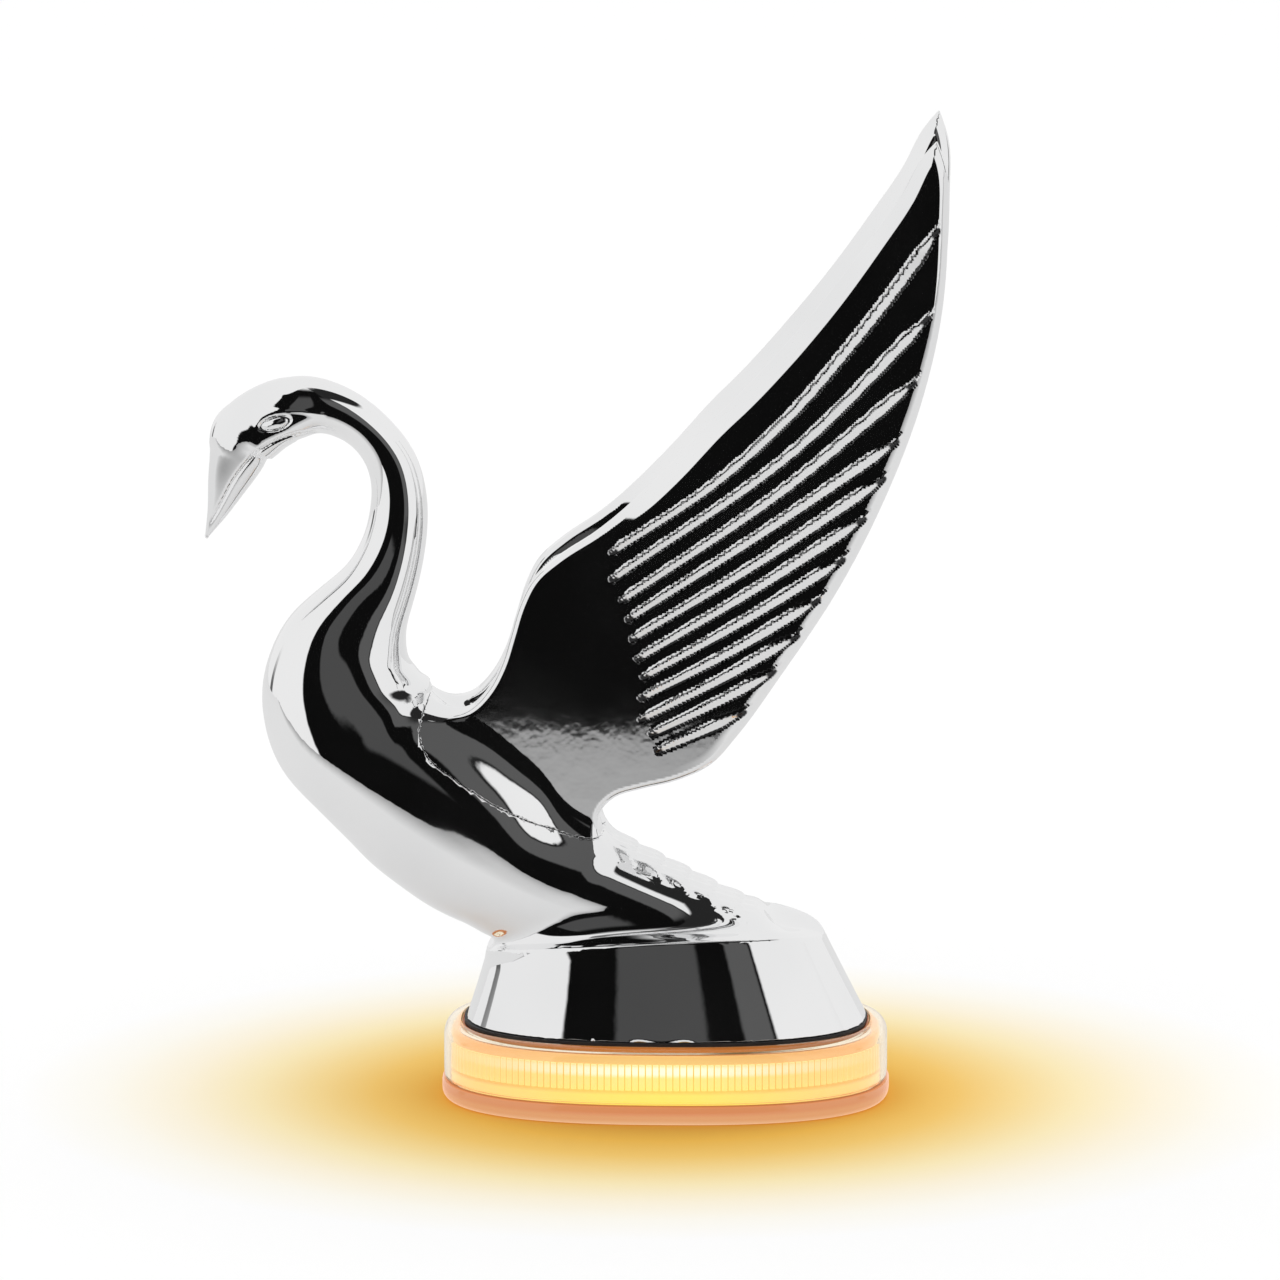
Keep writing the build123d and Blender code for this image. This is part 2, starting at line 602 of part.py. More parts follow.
with BuildPart() as swan_body:
    add(loft_stations(BODY_STATIONS))
    add(loft_stations((BODY_STATIONS[0], BEAK_TIP_STATION), ruled=True))
    # the flared foot, then the shoulder that runs from its rim into the flanks
    foot_base = level(FOOT_BASE_Z, FOOT_CENTRE_X)
    add(loft_ovals((foot_base, FOOT_HALF), (rim_plane, RIM_HALF)))
    add(loft_ovals((rim_plane, RIM_HALF), (level(SHOULDER_TOP_Z, SHOULDER_CENTRE_X), SHOULDER_HALF)))
    # the seats of the wings
    add(wing_blank.part, mode=Mode.SUBTRACT)
    add(mirror(wing_blank.part, about=Plane.XZ, mode=Mode.PRIVATE), mode=Mode.SUBTRACT)
    # the hollow: first up to the rim, then on up into the back
    cavity_rim = (level(RIM_Z - FOOT_WALL, RIM_CENTRE_X), shrunk(RIM_HALF, FOOT_WALL))
    cavity_top = (level(CAVITY_TOP_Z, CAVITY_TOP_CENTRE_X), CAVITY_TOP_HALF)
    add(loft_ovals((foot_base, shrunk(FOOT_HALF, FOOT_WALL)), cavity_rim), mode=Mode.SUBTRACT)
    add(loft_ovals(cavity_rim, cavity_top), mode=Mode.SUBTRACT)
    # bosses that reach down to the foot's flat underside, each tied to the wall by a rib
    with BuildSketch(Plane.XY.offset(FOOT_BASE_Z)):
        with Locations(*mount_places):
            Circle(MOUNT_BOSS_RADIUS)
        with Locations(*retainer_places):
            Circle(RETAINER_BOSS_RADIUS)
    extrude(amount=BOSS_HEIGHT)
    with BuildSketch(Plane.XY.offset(FOOT_BASE_Z)):
        with Locations(*[(side * (MOUNT_SPACING / 2 + RIB_LENGTH_X / 2), 0) for side in (-1, 1)]):
            Rectangle(RIB_LENGTH_X, RIB_WIDTH)
        with Locations(*[(0, side * (RETAINER_SPACING / 2 + RIB_LENGTH_Y / 2)) for side in (-1, 1)]):
            Rectangle(RIB_WIDTH, RIB_LENGTH_Y)
    extrude(amount=RIB_HEIGHT)
    with BuildSketch(Plane.XY.offset(FOOT_BASE_Z)):
        with Locations(*mount_places):
            Circle(MOUNT_TAP_RADIUS)
    extrude(amount=MOUNT_TAP_DEPTH, mode=Mode.SUBTRACT)
    with BuildSketch(Plane.XY.offset(FOOT_BASE_Z)):
        with Locations(*retainer_places):
            Circle(RETAINER_RADIUS)
    extrude(amount=RETAINER_TIP_Z - FOOT_BASE_Z, mode=Mode.SUBTRACT)
    with BuildSketch(Plane.XY.offset(CAVITY_TOP_Z)):
        with Locations(*wing_screw_places):
            Circle(WING_SCREW_RADIUS + SCREW_CLEARANCE)
    extrude(amount=WING_SCREW_TIP_Z - CAVITY_TOP_Z, mode=Mode.SUBTRACT)
save(swan_body, "swan_body")
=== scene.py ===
"""Chrome swan hood ornament on a lit amber base unit.  Shapes are worked out in millimetres and
stored in metres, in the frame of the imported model: the swan looks along -X, +Z is up."""
import itertools
import math

import bpy
import numpy as np
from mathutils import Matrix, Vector


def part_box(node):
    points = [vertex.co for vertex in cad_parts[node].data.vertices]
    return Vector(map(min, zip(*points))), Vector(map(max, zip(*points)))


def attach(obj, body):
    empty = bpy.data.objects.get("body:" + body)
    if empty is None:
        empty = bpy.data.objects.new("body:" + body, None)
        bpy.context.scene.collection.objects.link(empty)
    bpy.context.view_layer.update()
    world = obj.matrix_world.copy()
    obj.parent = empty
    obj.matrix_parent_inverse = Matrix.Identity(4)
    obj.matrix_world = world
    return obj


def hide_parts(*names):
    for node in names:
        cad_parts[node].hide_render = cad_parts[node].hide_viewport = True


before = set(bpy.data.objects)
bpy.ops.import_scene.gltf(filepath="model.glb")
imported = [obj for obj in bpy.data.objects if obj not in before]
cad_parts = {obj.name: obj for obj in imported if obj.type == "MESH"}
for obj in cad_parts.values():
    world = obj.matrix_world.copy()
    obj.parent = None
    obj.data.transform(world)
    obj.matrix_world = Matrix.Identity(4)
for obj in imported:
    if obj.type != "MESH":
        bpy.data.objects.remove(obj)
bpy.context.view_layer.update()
MM = 0.001

# ---- the swan's outlines, in millimetres --------------------------------------------------------
# Stations from beak to tail: point on the upper or back outline (x, z), point across from it on the
# lower or breast outline (x, z), and the half width there.
BODY_STATIONS = (
    (-97.7, 120.2, -96.9, 119.8, 0.6),
    (-97.2, 126.0, -92.8, 124.7, 2.2),
    (-96.9, 133.0, -88.8, 129.8, 3.7),
    (-96.3, 139.6, -85.4, 134.2, 4.9),
    (-96.0, 143.6, -83.9, 136.1, 5.5),
    (-95.6, 145.1, -83.0, 137.0, 5.8),
    (-93.3, 147.5, -81.2, 138.4, 6.3),
    (-89.6, 150.3, -79.2, 139.8, 6.8),
    (-84.2, 152.9, -76.2, 141.2, 7.2),
    (-77.1, 154.2, -73.2, 141.9, 7.0),
    (-67.3, 151.7, -70.0, 141.4, 6.2),
    (-58.4, 145.0, -66.0, 139.0, 5.5),
    (-52.7, 137.0, -63.2, 134.6, 5.4),
    (-50.5, 126.8, -62.4, 128.4, 5.9),
    (-51.1, 116.6, -64.2, 119.6, 6.6),
    (-52.7, 108.0, -68.4, 112.2, 8.0),
    (-54.5, 98.7, -75.6, 105.9, 10.6),
    (-53.8, 89.2, -82.6, 99.8, 13.6),
    (-50.0, 82.0, -87.0, 90.6, 16.0),
    (-43.5, 77.6, -87.6, 79.6, 17.6),
    (-36.6, 74.4, -83.6, 70.6, 18.5),
    (-29.0, 71.0, -75.4, 60.8, 18.9),
    (-22.0, 65.2, -64.4, 52.0, 18.9),
    (-14.0, 57.4, -51.0, 43.2, 18.4),
    (-1.0, 51.8, -30.0, 32.6, 17.2),
    (12.0, 45.4, -4.0, 27.0, 15.0),
    (21.0, 40.8, 12.0, 27.0, 12.6),
)
BODY_ROUNDNESS = 2.1
CHEEK_DROP = 0.26
WING_ROOT_BLEND = 5.5
FOOT_BLEND = 7.0

WING_EDGE = {
    "leading": (
        (-56.0, 74.0), (-51.0, 83.2), (-46.0, 83.2), (-41.1, 85.1), (-37.0, 89.5), (-34.4, 94.6),
        (-32.4, 101.0), (-30.4, 107.6), (-27.6, 113.2), (-22.6, 117.8), (-14.5, 123.4), (0.1, 137.0),
        (9.4, 147.2), (15.3, 153.0), (25.5, 164.3), (33.7, 174.2), (43.1, 187.0), (49.5, 196.3),
        (54.1, 204.8), (57.2, 208.4),
    ),
    "trailing": (
        (57.2, 208.4), (59.0, 203.2), (59.5, 190.0), (58.3, 171.1), (54.0, 151.6), (46.9, 132.1),
        (37.3, 112.4), (24.7, 92.7), (15.4, 79.6), (9.8, 73.4), (2.7, 70.0), (-5.2, 68.0),
        (-10.6, 66.2), (-13.6, 63.0), (-14.2, 58.6), (-13.6, 54.0),
    ),
    "root": ((-13.6, 54.0), (-20.0, 46.0), (-34.0, 48.0), (-48.0, 58.0), (-56.0, 74.0)),
}
# Height, distance of the wing's outer face from the centre plane, and thickness there.
WING_SECTION = (
    (44.0, 12.6, 10.0), (56.0, 12.7, 9.6), (68.0, 12.9, 8.8), (90.0, 13.8, 7.6),
    (115.0, 15.4, 6.8), (145.0, 18.9, 6.2), (175.0, 22.6, 5.4), (200.0, 25.6, 4.6), (212.0, 27.0, 4.0),
)
FEATHER_GROOVES = (
    ((-10.6, 119.6), (11.4, 134.9), (27.6, 150.2), (39.7, 164.8), (52.0, 181.3), (57.4, 189.4)),
    ((-10.6, 113.7), (28.0, 142.0), (55.6, 170.6)),
    ((-8.7, 109.1), (24.6, 132.6), (52.6, 156.6)),
    ((-7.3, 105.1), (22.0, 124.6), (49.0, 143.8)),
    ((-6.5, 100.8), (21.0, 118.0), (46.4, 135.8)),
    ((-5.4, 96.5), (19.6, 111.8), (42.2, 127.0)),
    ((-4.1, 92.6), (18.0, 105.4), (37.8, 118.2)),
    ((-4.6, 88.0), (15.2, 98.6), (32.6, 109.4)),
    ((-4.6, 83.4), (13.0, 92.6), (28.2, 101.6)),
    ((-2.4, 80.3), (11.6, 87.2), (23.4, 93.8)),
    ((-1.3, 76.6), (8.6, 81.0), (17.0, 85.0)),
)
# Where the wing castings meet the back.
WING_SEAT = (
    (-46.0, 150.0), (-47.0, 120.0), (-48.0, 100.0), (-49.6, 88.0), (-51.6, 80.5), (-50.0, 76.0),
    (-44.0, 71.0), (-34.0, 64.4), (-24.0, 60.0), (-14.5, 57.6), (-9.0, 59.0), (10.0, 60.0), (70.0, 60.0),
)

FOOT_LOW_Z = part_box("swan_body")[0].z / MM
FOOT_HALF = (42.6, 28.6)
FOOT_CENTRE_X = 0.2
RIM_HALF = (35.6, 23.6)
RIM_CENTRE_X = -2.35
RIM_FRONT_Z = 31.3
RIM_REAR_Z = 35.4
RIM_SIDE_LIFT = 4.2
OVAL_POWER = 2.5
WALL_SLANT = 0.93           # the flared wall's true distance as a share of the level one


# ---- curves -------------------------------------------------------------------------------------
def through(points, step):
    """A smooth curve through the given rows, sampled about every step along its first two columns."""
    rows = np.array(points, float)
    gaps = np.maximum(np.linalg.norm(np.diff(rows[:, :2], axis=0), axis=1), 1e-6)
    at = np.concatenate([[0.0], np.cumsum(gaps)])
    slope = np.empty_like(rows)
    rate = np.diff(rows, axis=0) / gaps[:, None]
    slope[0], slope[-1] = rate[0], rate[-1]
    weight = (gaps[1:] / (gaps[1:] + gaps[:-1]))[:, None]
    slope[1:-1] = rate[:-1] * weight + rate[1:] * (1 - weight)
    s = np.linspace(0, at[-1], int(at[-1] / step) + 2)
    k = np.clip(np.searchsorted(at, s, side="right") - 1, 0, len(gaps) - 1)
    h = gaps[k][:, None]
    t = ((s - at[k]) / gaps[k])[:, None]
    return ((1 + 2 * t) * (1 - t) ** 2 * rows[k] + t * (1 - t) ** 2 * h * slope[k]
            + t * t * (3 - 2 * t) * rows[k + 1] + t * t * (t - 1) * h * slope[k + 1])


def smoothed(rows, passes, start=0):
    """Rows with their small kinks evened out, left alone before the start."""
    rows = rows.copy()
    for _ in range(passes):
        rows[start + 1:-1] = (rows[start:-2] + 2 * rows[start + 1:-1] + rows[start + 2:]) / 4
    return rows


TABLE_CELL = 0.3
LINE_STEP = 0.5
BATCH = 60000


def nearest(samples, q):
    """Index of the sample nearest to each point."""
    samples = samples.astype(np.float32)
    half_square = (samples ** 2).sum(1) / 2
    out = np.empty(len(q), int)
    for start in range(0, len(q), BATCH):
        part = q[start:start + BATCH].astype(np.float32)
        out[start:start + BATCH] = np.argmin(half_square - part @ samples.T, axis=1)
    return out


class Line:
    """A flat curve that answers how far along it points lie and how far to its side."""

    def __init__(self, points, step=LINE_STEP, margin=14.0):
        self.rows = through(points, step) if step else np.array(points, float)
        self.xy = self.rows[:, :2]
        run = np.gradient(self.xy, axis=0)
        self.along = run / np.maximum(np.linalg.norm(run, axis=1), 1e-9)[:, None]
        self.left = np.stack([-self.along[:, 1], self.along[:, 0]], 1)
        self.pace = np.linalg.norm(run, axis=1)
        self.bend = smoothed(np.gradient(self.along, axis=0), 2)
        self.low = self.xy.min(0) - margin
        size = np.ceil((self.xy.max(0) + margin - self.low) / TABLE_CELL).astype(int) + 1
        cells = np.stack(np.meshgrid(*[np.arange(n) for n in size], indexing="ij"), -1).reshape(-1, 2)
        self.table = nearest(self.xy, self.low + cells * TABLE_CELL).reshape(size)

    def nearest_sample(self, q):
        last_cell = np.array(self.table.shape) - 1
        cell = np.clip(np.rint((q - self.low) / TABLE_CELL).astype(int), 0, last_cell)
        best = self.table[cell[:, 0], cell[:, 1]]
        shortest = ((q - self.xy[best]) ** 2).sum(1)
        for step in (8, -8, 4, -4, 2, -2, 1, -1):
            other = np.clip(best + step, 0, len(self.xy) - 1)
            away = ((q - self.xy[other]) ** 2).sum(1)
            best = np.where(away < shortest, other, best)
            shortest = np.minimum(away, shortest)
        return best

    def locate(self, q):
        """Place along the samples, distance past either end, and offset to the curve's left."""
        i = self.nearest_sample(q)
        past = ((q - self.xy[i]) * self.along[i]).sum(1)
        last = len(self.xy) - 1
        place = np.clip(i + np.clip(past / self.pace[i], -1, 1), 0, last - 0.0001)
        beyond = np.where((i == 0) & (past < 0) | (i == last) & (past > 0), past, 0.0)
        for _ in range(3):
            gap = q - self.value(place, self.xy)
            pace = self.value(place, self.pace)
            room = np.maximum(pace - (gap * self.value(place, self.bend)).sum(1), 0.2 * pace)
            step = (gap * self.value(place, self.along)).sum(1) / room
            place = np.clip(place + np.clip(step, -1.5, 1.5), 0, last - 0.0001)
        foot = self.value(place, self.xy)
        left = self.value(place, self.left)
        left /= np.maximum(np.linalg.norm(left, axis=1), 1e-9)[:, None]
        return place, beyond, ((q - foot) * left).sum(1)

    def value(self, place, data):
        """Rows of data, interpolated at places along the samples."""
        low = place.astype(int)
        share = place - low
        if data.ndim > 1:
            share = share[:, None]
        return data[low] * (1 - share) + data[low + 1] * share


def smooth_step(value, low, high):
    t = np.clip((value - low) / (high - low), 0, 1)
    return t * t * (3 - 2 * t)


def smooth_min(a, b, blend):
    h = np.clip(0.5 + 0.5 * (b - a) / blend, 0, 1)
    return b + (a - b) * h - blend * h * (1 - h)


def smooth_max(a, b, blend):
    return -smooth_min(-a, -b, blend)


# ---- the body ------------------------------------------------------------------------------------
def body_spine():
    """Middle line of the body with its half depth and half width, from the stations."""
    rows = through(BODY_STATIONS, LINE_STEP)
    crown = int(np.argmin(np.abs(rows[:, 0] + 84.0) + 99 * (rows[:, 1] < 140)))
    rows = smoothed(rows, 40, crown)
    back, breast, width = rows[:, 0:2], rows[:, 2:4], rows[:, 4]
    middle = smoothed((back + breast) / 2, 12, crown)
    run = np.gradient(middle, axis=0)
    run /= np.linalg.norm(run, axis=1)[:, None]
    normal = np.stack([-run[:, 1], run[:, 0]], 1)
    depth = np.abs(((back - breast) / 2 * normal).sum(1))
    return Line(np.column_stack([middle, smoothed(depth[:, None], 8), width]), step=None)


SPINE = body_spine()


def body_field(p):
    """Roughly the distance to the body's skin, negative inside."""
    place, beyond, side = SPINE.locate(p[:, [0, 2]])
    depth = SPINE.value(place, SPINE.rows[:, 2])
    width = SPINE.value(place, SPINE.rows[:, 3])
    share = place / (len(SPINE.rows) - 1)
    end_reach = np.where(share < 0.5, 0.7, 4.0)
    on_head = 1 - smooth_step(share, 0.15, 0.24)
    n = (BODY_ROUNDNESS + 0.6 * smooth_step(share, 0.42, 0.55)
         + 0.3 * smooth_step(share, 0.82, 1.0) + 0.5 * on_head)
    height = np.clip(side / depth, -1.5, 1.5)
    height = height + CHEEK_DROP * on_head * np.maximum(1 - height ** 2, 0)
    u, v, w = np.abs(height), np.abs(p[:, 1]) / width, np.abs(beyond) / end_reach
    r = (u ** n + v ** n + w ** n) ** (1 / n) + 1e-6
    slope = np.sqrt((u ** (n - 1) / depth) ** 2 + (v ** (n - 1) / width) ** 2
                    + (w ** (n - 1) / end_reach) ** 2) * r ** (1 - n)
    return (r - 1) / np.maximum(slope, 0.02)


def oval_field(x, y, half_x, half_y):
    """Roughly the distance to an oval's wall."""
    n = OVAL_POWER
    u, v = np.abs(x) / half_x, np.abs(y) / half_y
    r = (u ** n + v ** n) ** (1 / n) + 1e-6
    slope = np.sqrt((u ** (n - 1) / half_x) ** 2 + (v ** (n - 1) / half_y) ** 2) * r ** (1 - n)
    return (r - 1) / np.maximum(slope, 0.01)


def rim_height(x, y):
    """Height of the foot's top edge above the base, arched over the sides."""
    share = (x - RIM_CENTRE_X + RIM_HALF[0]) / (2 * RIM_HALF[0])
    lift = RIM_SIDE_LIFT * np.minimum(np.abs(y) / RIM_HALF[1], 1.2) ** 1.5
    return RIM_FRONT_Z + (RIM_REAR_Z - RIM_FRONT_Z) * share + lift


def foot_field(p):
    """The flared foot with its crisp top edge."""
    x, y, z = p.T
    top = rim_height(x, y)
    h = np.clip((z - FOOT_LOW_Z) / (top - FOOT_LOW_Z), -0.3, 1.3)
    bow = 0.5 * h * (1 - h)
    half_x = FOOT_HALF[0] + (RIM_HALF[0] - FOOT_HALF[0]) * h - bow
    half_y = FOOT_HALF[1] + (RIM_HALF[1] - FOOT_HALF[1]) * h - bow
    centre = FOOT_CENTRE_X + (RIM_CENTRE_X - FOOT_CENTRE_X) * h
    inner = oval_field(x - centre, y, half_x, half_y)
    wall = inner * WALL_SLANT
    crown = top + 0.5 - 0.9 * np.exp(-(inner / 2.2) ** 2) + 0.1 * np.clip(-inner, 0, 12)
    return smooth_max(smooth_max(wall, z - crown, 0.7), FOOT_LOW_Z - z, 0.3)


# ---- the wings -----------------------------------------------------------------------------------
OUTLINE_STEP = 0.4


def wing_outline():
    """The wing's closed outline, run so that its left side is outside."""
    parts = [smoothed(through(WING_EDGE[name], OUTLINE_STEP), 10)
             for name in ("leading", "trailing", "root")]
    return Line(np.vstack([part[:-1] for part in parts]), step=None)


WING_OUTLINE = wing_outline()
LEADING_COUNT = len(through(WING_EDGE["leading"], OUTLINE_STEP))
TRAILING_COUNT = len(through(WING_EDGE["trailing"], OUTLINE_STEP))
SECTION_ROWS = [(z, 0.0, face, thick) for z, face, thick in WING_SECTION]
WING_SHAPE = smoothed(through(SECTION_ROWS, LINE_STEP), 200)
# Each chamfer: how far it reaches in from the edge, and its slope.
LEADING_CHAMFER = (3.9, 0.56)
TRAILING_CHAMFER = (2.1, 0.5)
GROOVE_LINES = [Line(points, margin=5.0) for points in FEATHER_GROOVES]
GROOVE_HALF_WIDTH = (0.66, 1.15)
GROOVE_FLOOR = 0.35
CREST_HEIGHT = 0.45
CREST_FLANK = 0.8
GROOVE_LINE = 0.34


def groove_marks(q):
    """Height of the feather relief at each point, and how much painted shade its edges and ends get in
    place of dark reflections.
    """
    height, dark = np.zeros(len(q)), np.zeros(len(q))
    for line in GROOVE_LINES:
        low, high = line.xy.min(0) - 4.5, line.xy.max(0) + 4.5
        near = np.nonzero(((q > low) & (q < high)).all(1))[0]
        if not len(near):
            continue
        place, beyond, side = line.locate(q[near])
        share = place / (len(line.xy) - 1)
        length = len(line.xy) * LINE_STEP
        run = share * length
        before, after = np.maximum(-beyond, 0), np.maximum(beyond, 0)
        width = GROOVE_HALF_WIDTH[0] + (GROOVE_HALF_WIDTH[1] - GROOVE_HALF_WIDTH[0]) * share
        width = width * (1 - 0.7 * smooth_step(run, length - 7.0, length))
        off = np.hypot(side, beyond)
        inside = smooth_step(width + 0.3 - off, 0, 0.5)
        tilt = np.clip((side + width) / (2 * width), 0, 1)
        floor = inside * (-GROOVE_FLOOR + (GROOVE_FLOOR + CREST_HEIGHT) * tilt)
        fall = np.clip(1 - (side - width) / CREST_FLANK, 0, 1)
        flank = smooth_step(side, width - 0.1, width + 0.1) * fall
        ends = (1 - smooth_step(before, 0.0, 1.0)) * (1 - smooth_step(after, 2.0, 3.6))
        crest = CREST_HEIGHT * flank * ends * smooth_step(run, 0.0, 2.5)
        height[near] += np.where(side > width, np.maximum(crest, floor), floor)
        # Painted shade: thin lines along the groove walls and round the ends stand in for the dark
        # reflections there.
        lower = np.exp(-((side + width + 0.12) / GROOVE_LINE) ** 2)
        upper = 0.85 * np.exp(-((side - width) / (0.6 * GROOVE_LINE)) ** 2)
        round_end = np.exp(-((off - width) / GROOVE_LINE) ** 2)
        at_end = (before > 0) | (after > 0)
        line_dark = np.where(at_end, round_end, np.maximum(lower, upper))
        # Painted shade filling the start and the tip of each groove.
        first = (1 - smooth_step(run, 0.5, 1.5)) * (side < 0.35 * width)
        last = smooth_step(run, length - 2.6, length - 1.2)
        filled = smooth_step(width + 0.3 - off, 0, 0.3) * np.maximum(first, last)
        # A lighter painted shade on the bead beside each groove.
        outer = 1 - smooth_step(side, width + 1.0, width + 1.4)
        grey = 0.3 * smooth_step(side, width, width + 0.3) * outer
        shade = np.maximum(np.maximum(line_dark, filled), grey * ends)
        dark[near] = np.maximum(dark[near], shade)
    return height, dark


def wing_field(p):
    """Both wings, by symmetry."""
    q = p[:, [0, 2]]
    z = p[:, 2]
    place, _, edge = WING_OUTLINE.locate(q)
    face = np.interp(z, WING_SHAPE[:, 0], WING_SHAPE[:, 2])
    thick = np.interp(z, WING_SHAPE[:, 0], WING_SHAPE[:, 3])
    across = np.abs(np.abs(p[:, 1]) - (face - thick / 2))
    half = thick / 2
    leading = place < LEADING_COUNT - 1
    trailing = ~leading & (place < LEADING_COUNT + TRAILING_COUNT - 30)
    for chosen, (reach, slope), along in ((leading, LEADING_CHAMFER, (114, 134)),
                                          (trailing, TRAILING_CHAMFER, (70, 90))):
        reach = np.minimum(reach, (half - 0.7) / slope)
        cut = slope * smooth_max(reach + edge, np.zeros_like(edge), 0.8)
        half = half - np.where(chosen, np.minimum(cut, reach * slope), 0.0) * smooth_step(z, *along)
    on_face = smooth_step(-edge, 1.6, 2.4) * smooth_step(z, 60, 72)
    half = half + on_face * groove_marks(q)[0]
    radius = np.minimum(half * 0.85, 1.4)
    a, b = edge + radius, across - half + radius
    return (np.minimum(np.maximum(a, b), 0) + np.hypot(np.maximum(a, 0), np.maximum(b, 0)) - radius)


# ---- small engraving on the head and tail -------------------------------------------------------
EYE_CENTRE = (-82.3, 145.1)
EYE_TILT = math.radians(17)
EYE_HALF = (3.1, 1.35)
MOUTH = Line(((-97.0, 121.6), (-94.0, 127.6), (-90.4, 134.0), (-85.2, 139.6), (-79.6, 142.4),
              (-71.4, 143.2)))
BROW = Line(((-86.6, 143.6), (-85.2, 146.2), (-82.2, 147.6), (-77.4, 147.9), (-71.2, 146.9)))
# Height and width of each line on the head, and of the groove round the eye and the eyeball.
MOUTH_GROOVE = (-0.42, 0.42)
BROW_RIDGE = (0.2, 0.6)
EYE_GROOVE = (-0.4, 0.2)
EYE_BALL = (0.26, 0.5)


def head_relief(p):
    """Height of the eye, brow and mouth line above the plain head."""
    q = p[:, [0, 2]]
    x, z = q[:, 0] - EYE_CENTRE[0], q[:, 1] - EYE_CENTRE[1]
    u = (x * math.cos(EYE_TILT) + z * math.sin(EYE_TILT)) / EYE_HALF[0]
    v = (-x * math.sin(EYE_TILT) + z * math.cos(EYE_TILT)) / EYE_HALF[1]
    e = np.sqrt(u * u + v * v)
    relief = EYE_GROOVE[0] * np.exp(-((e - 1.0) / EYE_GROOVE[1]) ** 2)
    relief += EYE_BALL[0] * np.exp(-(e / EYE_BALL[1]) ** 2)
    for line, (height, width) in ((MOUTH, MOUTH_GROOVE), (BROW, BROW_RIDGE)):
        place, _, side = line.locate(q)
        share = place / (len(line.xy) - 1)
        fade = smooth_step(share, 0, 0.15) * smooth_step(1 - share, 0, 0.1)
        relief += height * fade * np.exp(-(side / width) ** 2)
    flank = smooth_step(np.abs(p[:, 1]), 0.4, 1.4)
    return relief * flank


FEATHER_WIDTH, FEATHER_ROW, FEATHER_LOBE, FEATHER_STEP = 4.4, 5.6, 1.7, 0.55


def tail_relief(p):
    """Layered feather tips on the flat top of the tail."""
    x, y, z = p.T
    lobe = FEATHER_LOBE * np.abs(np.mod(np.abs(y) / FEATHER_WIDTH, 1.0) - 0.5) * 2
    row = np.mod((x + lobe) / FEATHER_ROW, 1.0)
    step = smooth_step(row, 0.0, 0.82) * (1 - smooth_step(row, 0.88, 1.0))
    top = smooth_step(z - (52.6 - 0.56 * x) + 6.0, 0.0, 3.0)
    where = smooth_step(x, -13.0, -9.0) * (1 - smooth_step(x, 17.0, 20.5))
    return FEATHER_STEP * step * where * top * (1 - smooth_step(np.abs(y), 9.5, 12.5))


FAR = 60.0


def only_where(field, p, near):
    """The field at the points near enough to matter, and a large distance at the others."""
    out = np.full(len(p), FAR)
    if near.any():
        out[near] = field(p[near])
    return out


def swan_field(p):
    """The whole casting: body, foot and wing roots run into each other."""
    x, z = p[:, 0], p[:, 2]
    body = only_where(body_field, p, (z < 128) | (x < -36))
    for relief, near in ((head_relief, (x < -68) & (z > 118)),
                         (tail_relief, (x > -14) & (x < 22) & (z > 34) & (z < 62))):
        if near.any():
            body[near] -= relief(p[near])
    foot = only_where(foot_field, p, z < 66)
    wing = only_where(wing_field, p, (z > 36) & (x > -68))
    return smooth_min(smooth_min(body, foot, FOOT_BLEND), wing, WING_ROOT_BLEND)


SEAT = Line(WING_SEAT, margin=40.0)


def seat_field(p):
    """Positive on the wings' side of the seat where they join the back."""
    return SEAT.locate(p[:, [0, 2]])[2]


# ---- turning a field into a skin of quads -------------------------------------------------------
BLOCK = 3
CORNERS = list(itertools.product((0, 1), repeat=3))
TOUCH = 0.12                 # a vertex this near the uncut shape takes its normal from that shape


def axis_points(*stretches):
    """Grid lines from stretches of (start, end, spacing); the count suits whole blocks."""
    points = [stretches[0][0]]
    for start, end, spacing in stretches:
        count = max(1, round((end - start) / spacing))
        points += list(np.linspace(start, end, count + 1)[1:])
    while (len(points) - 1) % BLOCK:
        points.append(points[-1] + stretches[-1][2])
    return np.array(points)


def sample_near_skin(field, axes):
    """Field values on the grid: exact near the skin, and only of the right sign elsewhere."""
    coarse_axes = [axis[::BLOCK] for axis in axes]
    grid = np.stack(np.meshgrid(*coarse_axes, indexing="ij"), -1)
    shape = grid.shape[:3]
    coarse = field(grid.reshape(-1, 3)).reshape(shape)
    reach = math.sqrt(sum(np.diff(axis).max() ** 2 for axis in coarse_axes)) * 0.8
    lowest = np.full([n - 1 for n in shape], np.inf)
    for dx, dy, dz in CORNERS:
        corner = coarse[dx:shape[0] - 1 + dx, dy:shape[1] - 1 + dy, dz:shape[2] - 1 + dz]
        lowest = np.minimum(lowest, np.abs(corner))
    near = lowest < reach
    values = coarse
    for k in range(3):
        values = np.repeat(values, BLOCK, axis=k)
    sizes = [len(axis) for axis in axes]
    values = values[:sizes[0], :sizes[1], :sizes[2]].copy()
    mask = np.zeros(sizes, bool)
    for k in range(3):
        near = np.repeat(near, BLOCK, axis=k)
    for dx, dy, dz in CORNERS:
        mask[dx:dx + near.shape[0], dy:dy + near.shape[1], dz:dz + near.shape[2]] |= near
    i, j, k = np.nonzero(mask)
    points = np.column_stack([axes[0][i], axes[1][j], axes[2][k]])
    values[i, j, k] = field(points)
    return values


def field_slope(field, points, value=None, reach=0.05):
    """Slope of the field: by central differences, or from the value given at the points."""
    slope = np.empty_like(points)
    for k in range(3):
        step = np.zeros(3)
        step[k] = reach
        if value is None:
            slope[:, k] = (field(points + step) - field(points - step)) / (2 * reach)
        else:
            slope[:, k] = (field(points + step) - value) / reach
    return slope


